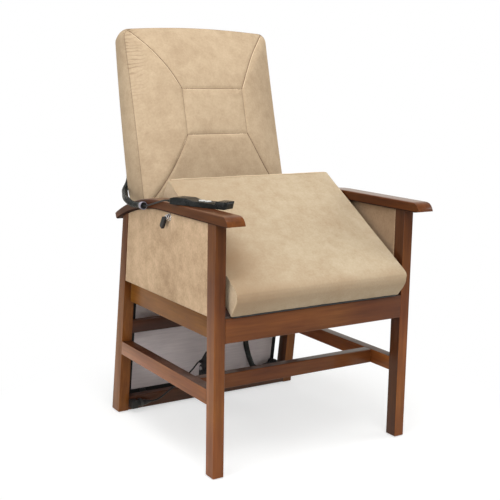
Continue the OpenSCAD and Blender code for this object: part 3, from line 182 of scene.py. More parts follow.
def white_floor():
    """Pale floor that keeps the chair's soft shadow and fades to plain white away from it."""
    material = bpy.data.materials.new("studio_floor")
    material.use_nodes = True
    tree = material.node_tree
    ray = new_node(tree, "LightPath").outputs
    place = new_node(tree, "NewGeometry").outputs["Position"]
    split = new_node(tree, "SeparateXYZ", (place,)).outputs
    paint = tree.nodes["Principled BSDF"]
    for label, value in (("Base Color", (0.62, 0.62, 0.62)), ("Roughness", 0.9), ("Specular IOR Level", 0.1)):
        feed(tree, paint.inputs[label], value)
    # A lift for the camera, and a warm glow for the lacquer that mirrors the floor
    lift = math_node(tree, "MULTIPLY", ray["Is Camera Ray"], 0.505)
    fading = math_node(tree, "MULTIPLY", ranged(tree, split["Y"], -0.5, 0.4, 0.15, 0.75),
                       ranged(tree, split["X"], -2.4, -0.9, 0.1, 1.0))
    seen_in = math_node(tree, "MULTIPLY", ray["Is Glossy Ray"], fading)
    lit = paint.outputs[0]
    for colour, strength in (((0.97, 0.99, 1.0), lift), ((1.0, 0.88, 0.70), seen_in)):
        glow = new_node(tree, "Emission", (colour, strength)).outputs[0]
        lit = new_node(tree, "AddShader", (lit, glow)).outputs[0]
    # Plain white beyond the shadow
    reach = vector_node(tree, "LENGTH", vector_node(tree, "SUBTRACT", place, (0.0, -0.05, 0.0)))
    away = ranged(tree, reach, 0.42, 0.82, interpolation_type="SMOOTHSTEP")
    share = math_node(tree, "MULTIPLY", away, ray["Is Camera Ray"])
    mix = new_node(tree, "MixShader", (share, lit, new_node(tree, "Emission").outputs[0]))
    feed(tree, tree.nodes["Material Output"].inputs["Surface"], mix.outputs[0])
    half, depth = 9, -0.0005
    corners = [(-half, -half, depth), (half, -half, depth), (half, half, depth), (-half, half, depth)]
    mesh = bpy.data.meshes.new("studio_floor")
    mesh.from_pydata(corners, [], [(0, 1, 2, 3)])
    mesh.materials.append(material)
    placed("studio_floor", mesh)


white_floor()

# ---- Beech frame ----
# Solid beech legs, rails and stretchers, stub-tenoned and glued, stained walnut brown and sealed with a
# satin lacquer. The long edges are eased and the grain runs along each piece.


def surface_group(name, inputs):
    """Shader group with named inputs (label: start value) that puts out Color, Roughness and Height.

    Returns the group, the place on the piece, the group's given inputs and the outputs to be made.
    """
    group = bpy.data.node_groups.new(name, "ShaderNodeTree")
    for label, start in inputs.items():
        kind = "Float" if isinstance(start, float) else "Color" if len(start) == 4 else "Vector"
        socket = group.interface.new_socket(label, in_out="INPUT", socket_type="NodeSocket" + kind)
        socket.default_value = start
    for label, kind in (("Color", "Color"), ("Roughness", "Float"), ("Height", "Float")):
        group.interface.new_socket(label, in_out="OUTPUT", socket_type="NodeSocket" + kind)
    place = new_node(group, "TexCoord").outputs["Object"]
    return group, place, group.nodes.new("NodeGroupInput").outputs, group.nodes.new("NodeGroupOutput").inputs


def put_out(group, made, *results):
    """The finished group, with its colour, roughness and height joined to its outputs."""
    for socket, result in zip(made, results):
        feed(group, socket, result)
    return group


def noise_node(tree, vector, scale, detail=3.0, rough=0.55):
    """Cloudy pattern from 0 to 1, finer with a larger scale."""
    values = {"Vector": vector, "Scale": scale, "Detail": detail, "Roughness": rough}
    return new_node(tree, "TexNoise", values).outputs[0]


def mixed(tree, factor, first, second, **settings):
    """Mix of two colours."""
    return new_node(tree, "Mix", {0: factor, 6: first, 7: second}, data_type="RGBA", **settings).outputs[2]


def wood_grain_group():
    """Grain drawn out along the piece under a cloudy stain, with painted shade that darkens it towards the
    top.
    """
    group, place, given, made = surface_group("wood_grain", {
        "Stretch": (1.0, 1.0, 1.0), "Light": (0.2, 0.07, 0.02, 1), "Dark": (0.06, 0.02, 0.01, 1),
        "Roughness": 0.4, "Painted Top Shade": 0.0})
    along = vector_node(group, "MULTIPLY", place, given["Stretch"])
    bands = noise_node(group, along, 26.0, 5.0, 0.6)
    fibres = noise_node(group, along, 170.0, 3.0, 0.7)
    clouds = noise_node(group, place, 4.5, 3.0, 0.5)
    stain = mixed(group, ranged(group, bands, 0.32, 0.68), given["Light"], given["Dark"])
    fleck = ranged(group, fibres, 0.3, 0.6, 0.45, 1.15)
    flecks = new_node(group, "CombineColor", (fleck, fleck, fleck)).outputs[0]
    flecked = mixed(group, 0.35, stain, flecks, blend_type="MULTIPLY")
    # Painted shade: darker towards the top of the piece
    height = new_node(group, "SeparateXYZ", (place,)).outputs["Z"]
    painted_shade = math_node(group, "MULTIPLY", ranged(group, height, 0.26, 0.56), given["Painted Top Shade"])
    colour = new_node(group, "HueSaturation", {
        "Hue": ranged(group, clouds, 0.3, 0.7, 0.493, 0.506),
        "Value": math_node(group, "SUBTRACT", ranged(group, clouds, 0.3, 0.7, 0.82, 1.2), painted_shade),
        "Color": flecked}).outputs[0]
    roughness = math_node(group, "ADD", given["Roughness"], ranged(group, bands, 0.3, 0.7, -0.06, 0.08))
    return put_out(group, made, colour, roughness, fibres)


def surfaced(name, group, values, bump=(0.2, 0.0002), plain=()):
    """Material from a group's Color, Roughness and Height, with plain values on the shader itself."""
    material = bpy.data.materials.new(name)
    material.use_nodes = True
    tree = material.node_tree
    effect = new_node(tree, "Group", values, node_tree=group).outputs
    strength, distance = bump
    relief = new_node(tree, "Bump", {"Strength": strength, "Distance": distance, "Height": effect["Height"]})
    shader = tree.nodes["Principled BSDF"]
    for label, value in (("Base Color", effect["Color"]), ("Roughness", effect["Roughness"]),
                         ("Normal", relief.outputs[0]), *plain):
        feed(tree, shader.inputs[label], value)
    return material


WOOD_GRAIN = wood_grain_group()
ALONG = {"x": (0.06, 1.0, 1.0), "y": (1.0, 0.06, 1.0), "z": (1.0, 1.0, 0.06)}
LACQUER = (("Coat Roughness", 0.14), ("Specular IOR Level", 0.15))


def beech(name, grain, light=(0.280, 0.088, 0.020), dark=(0.140, 0.039, 0.008), rough=0.42, coat=0.30,
          painted_top_shade=0.0):
    """Stained and lacquered beech whose grain runs along x, y or z; its top can be darkened with painted
    shade.
    """
    values = {"Stretch": ALONG[grain], "Light": light, "Dark": dark, "Roughness": rough,
              "Painted Top Shade": painted_top_shade}
    return surfaced(name, WOOD_GRAIN, values, (0.12, 0.0003), (("Coat Weight", coat), *LACQUER))


# The legs take painted shade towards their tops
beech_upright = beech("beech_upright", "z", painted_top_shade=0.48)
beech_rear = beech("beech_rear", "z", (0.235, 0.082, 0.018), (0.115, 0.037, 0.007), coat=0.12, painted_top_shade=0.25)
beech_apron = beech("beech_apron", "y", (0.245, 0.096, 0.016), (0.130, 0.047, 0.007), coat=0.10)
beech_fore_aft = beech("beech_fore_aft", "y")
beech_arm = beech("beech_arm", "y", (0.155, 0.045, 0.010), (0.072, 0.020, 0.005), 0.33, 0.40)
# Darker copies for the armrests' outer sides and undersides, as painted shade
beech_arm_side_shaded = beech("beech_arm_side_shaded", "y", (0.108, 0.031, 0.006), (0.050, 0.014, 0.003), 0.40, 0.05)
beech_under_shaded = beech("beech_under_shaded", "y", (0.040, 0.013, 0.005), (0.022, 0.007, 0.003), 0.85, 0.0)
beech_rail = beech("beech_rail", "x", (0.190, 0.059, 0.014), (0.090, 0.026, 0.006), coat=0.28)
# Darker copies for faces in shade under the seat and turned in, as painted shade
beech_shaded = beech("beech_shaded", "x", (0.080, 0.024, 0.008), (0.036, 0.010, 0.004))
beech_inner = beech("beech_inner", "z", (0.085, 0.026, 0.008), (0.040, 0.011, 0.004))


def cleaned(node):
    """Copy of a node's mesh with its triangles merged back into flat faces."""
    shape = bmesh.new()
    shape.from_mesh(frame["nodes"][node].data)
    bmesh.ops.remove_doubles(shape, verts=shape.verts, dist=2e-6)
    bmesh.ops.dissolve_limit(shape, angle_limit=math.radians(0.4), verts=shape.verts, edges=shape.edges)
    return shape


EASED_CORNER = math.radians(32)
CRISP_CORNER = math.radians(38)


def eased(node, material, width=0.0008, segments=2):
    """The node's shape with its sharp edges rounded over, in place of the node."""
    shape = cleaned(node)
    sharp = [edge for edge in shape.edges
             if len(edge.link_faces) == 2 and edge.calc_face_angle(0) > EASED_CORNER]
    bmesh.ops.bevel(shape, geom=sharp, offset=width, offset_type="OFFSET", segments=segments, profile=0.6,
                    affect="EDGES", clamp_overlap=True)
    mesh = bpy.data.meshes.new(node + "_finished")
    shape.to_mesh(mesh)
    shape.free()
    mesh.polygons.foreach_set("use_smooth", [True] * len(mesh.polygons))
    mesh.set_sharp_from_angle(angle=CRISP_CORNER)
    mesh.materials.append(material)
    piece = placed(node + "_finished", mesh)
    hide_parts(node)
    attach(piece, frame["nodes"][node]["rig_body"])
    return piece


def shaded(piece, material, facing, limit=0.92):
    """Darker copy of the stain on the faces that look one way, as painted shade; limit is the least cosine to
    it.
    """
    piece.data.materials.append(material)
    last = len(piece.data.materials) - 1
    for face in piece.data.polygons:
        if face.normal.dot(Vector(facing)) > limit:
            face.material_index = last


# Painted shade: darker stain on inner leg faces, rail and stretcher tops, arm sides and undersides, rear
# rails
for node in ("front_leg_left", "front_leg_right", "rear_leg_left", "rear_leg_right"):
    leg = eased(node, beech_rear if node.startswith("rear") else beech_upright, 0.0018, 3)
    shaded(leg, beech_inner, (-1 if node.endswith("right") else 1, 0, 0))
for node, stain in (("front_rail", beech_rail), ("cross_stretcher", beech_rail),
                    ("rear_mid_rail", beech_shaded), ("rear_bottom_rail", beech_shaded)):
    rail = eased(node, stain, 0.0012, 2)
    shaded(rail, beech_shaded, (0, 0, 1))
for node in ("side_apron_left", "side_apron_right", "side_stretcher_left", "side_stretcher_right"):
    rail = eased(node, beech_apron if "apron" in node else beech_fore_aft, 0.0018, 3)
    shaded(rail, beech_inner, (0, 0, 1))
for node in ("armrest_left", "armrest_right"):
    arm = eased(node, beech_arm, 0.0022, 3)
    shaded(arm, beech_arm_side_shaded, (-1, 0, 0), 0.8)
    shaded(arm, beech_under_shaded, (0, 0, -1), 0.2)

# ---- Glides ----
# Plastic discs nailed under the four legs, just proud of the wood. Their finish is a fine moulded skin,
# which the other plastic, rubber and sprayed pieces have too.


def moulded_grain_group():
    """Fine skin of a moulded or sprayed surface, with a little dust and handling wear."""
    group, place, given, made = surface_group("moulded_grain", {
        "Color": (0.02, 0.02, 0.02, 1), "Worn Color": (0.06, 0.06, 0.06, 1), "Grain Scale": 900.0,
        "Roughness": 0.5})
    grain = noise_node(group, place, given["Grain Scale"], 2.0)
    patches = noise_node(group, place, 22.0, 4.0)
    colour = mixed(group, ranged(group, patches, 0.45, 0.75), given["Color"], given["Worn Color"])
    roughness = math_node(group, "ADD", given["Roughness"], ranged(group, patches, 0.3, 0.7, -0.07, 0.07))
    return put_out(group, made, colour, roughness, grain)


MOULDED_GRAIN = moulded_grain_group()


def moulded(name, colour, worn, grain_scale, rough, gloss=0.5, bump=(0.2, 0.0002)):
    """Moulded plastic, rubber or sprayed metal; gloss is the shader's specular level."""
    values = {"Color": colour, "Worn Color": worn, "Grain Scale": grain_scale, "Roughness": rough}
    return surfaced(name, MOULDED_GRAIN, values, bump, (("Specular IOR Level", gloss),))


glide_rubber = moulded("glide_rubber", (0.02, 0.02, 0.02), (0.06, 0.055, 0.05), 500.0, 0.6)
eased("foot_glides", glide_rubber, 0.0004)

# ---- Side panels ----
# Boards padded with thin foam and pulled tight in the same tan suede as the seat and back, let in
# between the legs, the seat rail and the armrest, with softly rounded edges.
LIFT = math.radians(32.8)
FRONT_DEPTH, FRONT_HEIGHT = -0.0495, 0.508  # hinge pin, along and square to the raised seat
DARK_PATCH_AT = (-0.232, -0.255, 0.525)  # the seat's left front corner
GATHERED_ALONG = (-0.14, 0.2639, 0.9646)  # up the back, square to its gathers


def suede_group():
    """Brushed suede: broad hand marks where the nap lies over, small flecks, a fine pile and painted shade.
    """
    group, place, given, made = surface_group("suede_nap", {
        "Light": (0.62, 0.47, 0.31, 1), "Dark": (0.40, 0.28, 0.18, 1), "Mottle": 1.0, "Gather": 0.0,
        "Side Shade": 0.0, "Dark Patch": 0.0, "Front Shade": 0.0})
    across = new_node(group, "SeparateXYZ", (place,)).outputs["X"]
    broad = noise_node(group, place, 7.0, 4.0, 0.55)
    brushed = noise_node(group, place, 34.0, 4.0, 0.6)
    flecks = noise_node(group, place, 170.0, 3.0, 0.65)
    pile = noise_node(group, place, 1500.0, 2.0, 0.6)

    def product(*values):
        return math_node(group, "MULTIPLY", *values)

    def total(*values):
        return math_node(group, "ADD", *values)

    marks = total(ranged(group, broad, 0.36, 0.66, 0.0, 0.36), ranged(group, brushed, 0.34, 0.7, 0.0, 0.34))
    marks = total(marks, ranged(group, flecks, 0.34, 0.7, 0.0, 0.30))
    # Painted shade darkening towards the left edge
    shade = product(ranged(group, across, -0.25, -0.02, 1.0, 0.0), given["Side Shade"])
    shade = product(shade, ranged(group, broad, 0.3, 0.65, 1.3, 0.7))
    # A darker patch near the seat's left front corner
    offset = vector_node(group, "SUBTRACT", place, DARK_PATCH_AT)
    reach = vector_node(group, "LENGTH", vector_node(group, "MULTIPLY", offset, (1.0, 0.75, 0.75)))
    patch = product(ranged(group, reach, 0.01, 0.085, 1.0, 0.0), given["Dark Patch"])
    shade = total(shade, product(patch, ranged(group, broad, 0.3, 0.65, 1.2, 0.8)))
    # Painted shade over the raised seat's front, less so low down
    depth = vector_node(group, "DOT_PRODUCT", place, (0, math.cos(LIFT), math.sin(LIFT)))
    height = vector_node(group, "DOT_PRODUCT", place, (0, -math.sin(LIFT), math.cos(LIFT)))
    band = product(ranged(group, depth, FRONT_DEPTH + 0.003, FRONT_DEPTH + 0.034, 1.0, 0.0),
                   ranged(group, height, FRONT_HEIGHT + 0.012, FRONT_HEIGHT + 0.052, 0.15, 1.0))
    band = product(band, ranged(group, brushed, 0.35, 0.65, 1.25, 0.65))
    shade = total(shade, product(band, given["Front Shade"]))
    # Cloth gathered on the back's left seam, in uneven folds square to it, bumped and darkened with painted
    # shade
    up = vector_node(group, "DOT_PRODUCT", place, GATHERED_ALONG)
    wander = noise_node(group, place, 16.0, 2.0)
    phase = total(ranged(group, up, 0.0, 2.0, 0.0, 1120.0), ranged(group, wander, 0.0, 1.0, 0.0, 24.0))
    near = product(ranged(group, across, -0.232, -0.186, 1.0, 0.0), ranged(group, across, -0.2365, -0.2335))
    near = product(near, ranged(group, up, 0.94, 1.06, 0.12, 1.0))
    near = product(near, ranged(group, noise_node(group, place, 24.0, 2.0), 0.36, 0.56, 0.15, 1.3))
    near = product(near, given["Gather"])
    folds = product(near, ranged(group, math_node(group, "SINE", phase), 0.2, 1.0))
    shade = total(shade, product(folds, ranged(group, wander, 0.0, 1.0, 0.6, 1.1)))
    napped = mixed(group, product(marks, given["Mottle"]), given["Light"], given["Dark"])
    colour = mixed(group, shade, napped, given["Dark"])
    relief = total(ranged(group, pile, 0.2, 0.8, 0.0, 0.6), ranged(group, flecks, 0.2, 0.8, 0.0, 0.6))
    relief = total(relief, product(folds, ranged(group, wander, 0.0, 1.0, -7.0, -4.0)))
    return put_out(group, made, colour, ranged(group, brushed, 0.3, 0.7, 0.82, 0.97), relief)


SUEDE_NAP = suede_group()
SUEDE_SHEEN = (("Sheen Weight", 0.22), ("Sheen Roughness", 0.4), ("Sheen Tint", (0.95, 0.82, 0.62, 1)),
               ("Specular IOR Level", 0.08))


def suede(name, light, dark, mottle=1.0, gather=0.0, side_shade=0.0, dark_patch=0.0, front_shade=0.0):
    """Suede between two tones, with a share of each of the marks that its group knows."""
    return surfaced(name, SUEDE_NAP, {
        "Light": light, "Dark": dark, "Mottle": mottle, "Gather": gather, "Side Shade": side_shade,
        "Dark Patch": dark_patch, "Front Shade": front_shade}, (0.45, 0.0006), SUEDE_SHEEN)


panel_suede = suede("panel_suede", (0.690, 0.500, 0.325), (0.375, 0.250, 0.148), 1.2)
# Darker copy for the panels' inner faces, as painted shade
inner_shaded_suede = suede("inner_shaded_suede", (0.34, 0.235, 0.150), (0.205, 0.135, 0.085), 0.95)
BOARD_PLACE = 285  # from the centre line to the board's middle
BOARD_HALF, BOARD_EDGE = 15.0, 4.0  # half its padded thickness, and the rounding of its edges
BOARD_FRONT, BOARD_FOOT = 38.3, 398.2
BOARD_DEEP, BOARD_TALL = 440, 226
LEG_GAP, ARM_GAP = 0.3, 0.4  # left free at the rear leg and under the armrest
EDGE_STEPS = [0, 0.4, 1.2, 2.4, 4.0, 7.0]


def leg_line(z):
    """Front face of the raked rear leg at a height."""
    return 545 - 0.122 * z


def arm_line(y):
    """Underside of the armrest, level and then curved down to the rear."""
    return 624 if y < 270 else -21 + math.sqrt(645 ** 2 - (y - 270) ** 2)


def board_steps(length, count):
    """Steps across a panel, close together at its two rounded edges."""
    middle = np.linspace(EDGE_STEPS[-1], length - EDGE_STEPS[-1], count)[1:-1]
    return np.concatenate([EDGE_STEPS, middle, [length - step for step in EDGE_STEPS[::-1]]])


def new_piece(name, points, faces, material, sharp=35):
    """Smooth piece whose edges stay crisp where its faces turn by more than sharp degrees."""
    mesh = bpy.data.meshes.new(name)
    mesh.from_pydata([tuple(p) for p in points], [], faces)
    mesh.validate()
    mesh.polygons.foreach_set("use_smooth", [True] * len(mesh.polygons))
    mesh.set_sharp_from_angle(angle=math.radians(sharp))
    mesh.materials.append(material)
    return placed(name, mesh)


def side_panel(side):
    """Padded board on the left (side -1) or the right (side 1)."""
    columns, rows = board_steps(BOARD_DEEP, 40), board_steps(BOARD_TALL, 26)
    grid = []
    for r in rows:
        line = []
        for c in columns:
            along, up = c / BOARD_DEEP, r / BOARD_TALL
            z = BOARD_FOOT + r
            # The rear edge leans with the leg and the top follows the armrest, so the two are found in turns
            for _ in range(4):
                y = BOARD_FRONT + (leg_line(z) - LEG_GAP - BOARD_FRONT) * along
                z = BOARD_FOOT + (arm_line(y) - ARM_GAP - BOARD_FOOT) * up
            inset = min(c, BOARD_DEEP - c, r, BOARD_TALL - r, BOARD_EDGE) / BOARD_EDGE
            rounding = BOARD_EDGE * (1 - math.sqrt(1 - (1 - inset) ** 2))
            crown = math.sin(math.pi * along) * math.sin(math.pi * up)
            soft = noise.noise(Vector((y, z, 50 * side)) / 60)
            line.append((y, z, BOARD_HALF - rounding + 0.9 * crown + 0.35 * soft * crown))
        grid.append(line)
    points, faces = [], []
    for face in (1, -1):
        for line in grid:
            points.extend(at(side * BOARD_PLACE + side * face * half, y, z) for y, z, half in line)
    tall, wide = len(rows), len(columns)
    count = tall * wide
    for base, flip in ((0, side > 0), (count, side < 0)):
        for i in range(tall - 1):
            for k in range(wide - 1):
                a = base + i * wide + k
                quad = (a, a + 1, a + wide + 1, a + wide)
                faces.append(quad if flip else quad[::-1])
    rim = (list(range(wide)) + [i * wide + wide - 1 for i in range(1, tall)]
           + [(tall - 1) * wide + k for k in range(wide - 2, -1, -1)]
           + [i * wide for i in range(tall - 2, 0, -1)])
    for a, b in zip(rim, rim[1:] + rim[:1]):
        quad = (a, b, b + count, a + count)
        faces.append(quad[::-1] if side > 0 else quad)
    name = "left" if side < 0 else "right"
    panel = new_piece(f"{name}_side_upholstery", points, faces, panel_suede, 60)
    # Faces turned in towards the seat take the darker copy, as painted shade
    panel.data.materials.append(inner_shaded_suede)
    for face in panel.data.polygons:
        face.material_index = int(face.normal.x * side < -0.7)
    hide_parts(f"side_panel_{name}")
    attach(panel, "frame")


side_panel(-1)
side_panel(1)

# ---- Rear cover ----
# Board behind the rear legs, faced with a grey woven lining and edged all round with black tape,
# screwed to two steel angles and two blocks. The control box hangs on its rear face.


def weave_group():
    """Plain weave with slubs along its width and a few washed-out blotches."""
    group, place, given, made = surface_group("lining_weave", {
        "Color": (0.4, 0.36, 0.36, 1), "Thread": (0.3, 0.27, 0.27, 1), "Threads": 900.0})
    threads = {"Vector": place, "Scale": given["Threads"], "Distortion": 0.6, "Detail": 1.0}
    upright, level = (new_node(group, "TexWave", threads, bands_direction=way).outputs["Fac"] for way in "ZX")
    weave = math_node(group, "MULTIPLY", upright, ranged(group, level, 0.0, 1.0, 0.6, 1.0))
    streaks = noise_node(group, vector_node(group, "MULTIPLY", place, (0.08, 1.0, 1.0)), 150.0, 3.0, 0.6)
    blotches = noise_node(group, place, 9.0, 3.0, 0.5)
    tone = math_node(group, "ADD", ranged(group, streaks, 0.3, 0.7, 0.0, 0.55),
                     ranged(group, blotches, 0.3, 0.7, 0.0, 0.4))
    colour = mixed(group, tone, given["Color"], given["Thread"])
    return put_out(group, made, colour, ranged(group, weave, 0.0, 1.0, 0.75, 0.95), weave)


LINING_WEAVE = weave_group()
grey_lining = surfaced("grey_lining", LINING_WEAVE, {
    "Color": (0.80, 0.73, 0.73), "Thread": (0.60, 0.54, 0.55), "Threads": 330.0}, (0.35, 0.0003),
    (("Sheen Weight", 0.15), ("Specular IOR Level", 0.2)))
edging_tape = surfaced("edging_tape", LINING_WEAVE, {
    "Color": (0.012, 0.012, 0.013), "Thread": (0.02, 0.02, 0.02), "Threads": 500.0}, (0.4, 0.0002),
    (("Specular IOR Level", 0.2),))
eased("rear_cover", grey_lining, 0.0008)

TAPE_LOW_EDGE, TAPE_DROP = 0.0395, 0.006
LINED_SIDE, LINED_LOW, LINED_HIGH = -0.15, 0.05, 0.385
binding = eased("cover_binding", edging_tape, 0.0003)
binding.data.materials.append(grey_lining)
for vertex in binding.data.vertices:
    if vertex.co.z < TAPE_LOW_EDGE:
        vertex.co.z -= TAPE_DROP
# The lining is turned over the front of the tape on the left
for face in binding.data.polygons:
    if face.center.x < LINED_SIDE and face.normal.y < -0.5 and LINED_LOW < face.center.z < LINED_HIGH:
        face.material_index = 1

powder_coat = moulded("powder_coat", (0.014, 0.014, 0.015), (0.03, 0.03, 0.03), 1100.0, 0.5,
                      bump=(0.4, 0.0002))
eased("cover_brackets", powder_coat, 0.0004)
box_plastic = moulded("box_plastic", (0.012, 0.012, 0.013), (0.024, 0.024, 0.025), 900.0, 0.48, 0.25,
                      (0.25, 0.0002))
eased("control_box", box_plastic, 0.0015, 3)

# ---- Power inlet and coupler ----
# Moulded inlet socket screwed to the bottom rail, the motor lead's round coupler pushed into it, and
# the saddle that keeps the coupler from being pulled out.
for node, width in (("power_inlet", 0.0012), ("lead_coupler", 0.0008)):
    eased(node, box_plastic, width)
eased("lead_clip", powder_coat, 0.0004)

# ---- Lift actuator ----
# Motor and gearbox in a black housing at the foot, a grey enamelled tube, and a bright steel push rod
# that bears on the slotted bracket under the seat board. Pinned at the foot to the bottom rail.


def drawn_steel_group():
    """Bright steel with fine drawing lines and duller blooms."""
    group, place, given, made = surface_group("drawn_steel", {
        "Color": (0.6, 0.6, 0.61, 1), "Dull": (0.42, 0.42, 0.43, 1), "Stretch": (1.0, 1.0, 1.0),
        "Roughness": 0.3})
    lines = noise_node(group, vector_node(group, "MULTIPLY", place, given["Stretch"]), 420.0, 3.0, 0.6)
    blooms = noise_node(group, place, 35.0, 4.0, 0.6)
    colour = mixed(group, ranged(group, blooms, 0.35, 0.7), given["Color"], given["Dull"])
    roughness = math_node(group, "ADD", given["Roughness"], ranged(group, blooms, 0.3, 0.7, -0.05, 0.12))
    return put_out(group, made, colour, roughness, lines)


DRAWN_STEEL = drawn_steel_group()
zinc_steel = surfaced("zinc_steel", DRAWN_STEEL, {
    "Color": (0.60, 0.60, 0.61), "Dull": (0.44, 0.44, 0.45), "Stretch": (0.2, 1.0, 1.0), "Roughness": 0.34},
    (0.15, 0.0001), (("Metallic", 1.0),))
tube_enamel = moulded("tube_enamel", (0.055, 0.058, 0.062), (0.08, 0.082, 0.085), 1000.0, 0.42)
eased("motor_housing", box_plastic, 0.0012, 3)
eased("actuator_tube", tube_enamel, 0.0006)
for node in ("actuator_rod", "actuator_upper_pin", "frame_pivot_pins"):
    eased(node, zinc_steel, 0.0004)
for node in ("actuator_bracket", "seat_lift_bracket"):
    eased(node, powder_coat, 0.0005)

# ---- Recline gear ----
# Steel shaft across the rear legs with flat uprights into the back, and a lever that works a lockable
# gas spring fixed to the front rail.
for node in ("back_shaft", "gas_spring_rod"):
    eased(node, zinc_steel, 0.0004)
for node in ("back_uprights", "back_crossbars", "back_lever", "back_hinge_plates", "gas_spring_bracket",
             "gas_spring_cylinder"):
    eased(node, powder_coat, 0.0004)
eased("frame_screws", zinc_steel, 0.0003)

# ---- Seat hinge and board ----
# Long black piano hinge let into the front rail's top edge, and the birch plywood board that it
# carries under the cushion.
for node in ("seat_hinge_lower_leaf", "seat_hinge_upper_leaf", "seat_hinge_pin"):
    eased(node, powder_coat, 0.0002, 1)
birch_plywood = surfaced("birch_plywood", WOOD_GRAIN, {
    "Stretch": ALONG["x"], "Light": (0.58, 0.41, 0.24), "Dark": (0.46, 0.31, 0.17), "Roughness": 0.55},
    (0.15, 0.0003))
eased("seat_board", birch_plywood, 0.0006)

# ---- Seat cushion ----
# Deep foam slab in a boxed suede cover: crowned on top, crisp at the sides, rolled over and a little
# slack along the front, with a raised seam along the rear edge.
# Painted shade darkens the seat towards its left edge and over its raised front
seat_suede = suede("seat_suede", (0.545, 0.455, 0.322), (0.345, 0.227, 0.132), 0.78,
                   side_shade=0.42, dark_patch=0.75, front_shade=0.40)
# Paler suede for the seat's rear lip, as a painted highlight
seat_lip_highlight = suede("seat_lip_highlight", (0.80, 0.66, 0.47), (0.62, 0.49, 0.34), 1.1)
# Lighter copy for the seat's left side faces, as painted light
seat_side_painted_light = suede("seat_side_painted_light", (0.640, 0.505, 0.350), (0.430, 0.320, 0.210), 1.0)
HINGE_PIN_Y, HINGE_PIN_Z = -0.5, 400.2
SEAT_FRONT, SEAT_REAR = -2.5, 433  # behind the hinge pin
SEAT_HALVES, SEAT_CORNER = (258.5, 253.5), 4.5  # half its width in front and behind, and its corners' radius
SEAT_UNDER, SEAT_TOP, SEAT_CROWN = 3.4, 69.4, 14.0  # square to the board, from the hinge pin
# Edges of the underside and the top as (inset, height): crisp at the sides and rear, rolled in front
UNDER_EDGE = [(11.0, 2.0), (4.0, 0.2), (1.6, 0.8), (0.4, 2.4), (0.0, 5.0)]
CRISP_EDGE = [(-0.6, -1.4), (-0.9, 0.2), (-0.3, 1.3), (0.8, 1.6), (2.0, 1.0), (3.6, 1.0)]
ROLLED_EDGE = [(0.2, -4.5), (0.8, -3.0), (1.7, -1.7), (2.8, -0.8), (4.0, -0.1), (5.2, 0.5)]
DOME_FROM, DOME_TO = 3.6, 213
DOME_INSETS = (6, 9, 13, 18, 25, 33, 43, 55, 70, 88, 108, 130, 155, 180, 202, DOME_TO)


def seat_point(x, a, h):
    """From the seat's own plane: a behind the hinge pin, h square to the board."""
    return at(x, HINGE_PIN_Y + a * math.cos(LIFT) - h * math.sin(LIFT),
              HINGE_PIN_Z + a * math.sin(LIFT) + h * math.cos(LIFT))


def outline(half_low, half_high, low, high, radius, corner_points, side_points, pull=0.0):
    """Rounded outline, counter-clockwise from its low right corner, denser towards the corners."""
    def arc(x, y, start):
        turns = [math.radians(start + 90 * i / corner_points) for i in range(corner_points + 1)]
        return [(x + radius * math.cos(turn), y + radius * math.sin(turn)) for turn in turns]

    def side(a, b, inward):
        found = []
        for i in range(1, side_points + 1):
            u = i / (side_points + 1)
            u -= 0.09 * math.sin(2 * math.pi * u)
            drawn = math.sin(math.pi * u) * pull
            found.append((a[0] + (b[0] - a[0]) * u + inward[0] * drawn,
                          a[1] + (b[1] - a[1]) * u + inward[1] * drawn))
        return found

    r = radius
    return np.array(
        arc(half_low - r, low + r, -90) + side((half_low, low + r), (half_high, high - r), (-1, 0))
        + arc(half_high - r, high - r, 0) + side((half_high - r, high), (r - half_high, high), (0, -1))
        + arc(r - half_high, high - r, 90) + side((-half_high, high - r), (-half_low, low + r), (1, 0))
        + arc(r - half_low, low + r, 180) + side((r - half_low, low), (half_low - r, low), (0, 1)))


def skin_faces(rings, size):
    """Faces of a skin over rings of points, closed at both ends."""
    faces = []
    for j in range(rings - 1):
        for i in range(size):
            a, b = j * size + i, j * size + (i + 1) % size
            faces.append((a, b, b + size, a + size))
    faces.append(tuple(range(size))[::-1])
    faces.append(tuple(range((rings - 1) * size, rings * size)))
    return faces


def tube(name, path, radii, sides, material, sharp=35):
    """Round skin along a path; radii holds one radius for each point."""
    ahead = np.gradient(path, axis=0)
    ahead /= np.linalg.norm(ahead, axis=1)[:, None]
    side = np.array([0, 0, 1.0]) if abs(ahead[0][2]) < 0.9 else np.array([0, 1.0, 0])
    points = []
    turn = np.linspace(0, 2 * math.pi, sides, endpoint=False)
    for i, (centre, t) in enumerate(zip(path, ahead)):
        side = side - side.dot(t) * t
        side /= np.linalg.norm(side)
        across = np.cross(t, side)
        points.extend(centre + radii[i] * (math.cos(a) * side + math.sin(a) * across) for a in turn)
    return new_piece(name, points, skin_faces(len(path), sides), material, sharp)


def seat_profile():
    """Cushion's section from the underside, up its side and over the top, as (inset, height)."""
    profile = [(inset, SEAT_UNDER + height) for inset, height in UNDER_EDGE]
    for u in np.linspace(0.08, 0.94, 12):
        profile.append((-1.6 * math.sin(math.pi * u), SEAT_UNDER + 5 + (SEAT_TOP - SEAT_UNDER - 9) * u))
    profile += [(inset, SEAT_TOP + height) for inset, height in CRISP_EDGE]
    for inset in DOME_INSETS:
        dome = 1 - (1 - (inset - DOME_FROM) / (DOME_TO - DOME_FROM)) ** 2.1
        profile.append((inset, SEAT_TOP + 1.0 + (SEAT_CROWN - 1.0) * dome))
    return profile


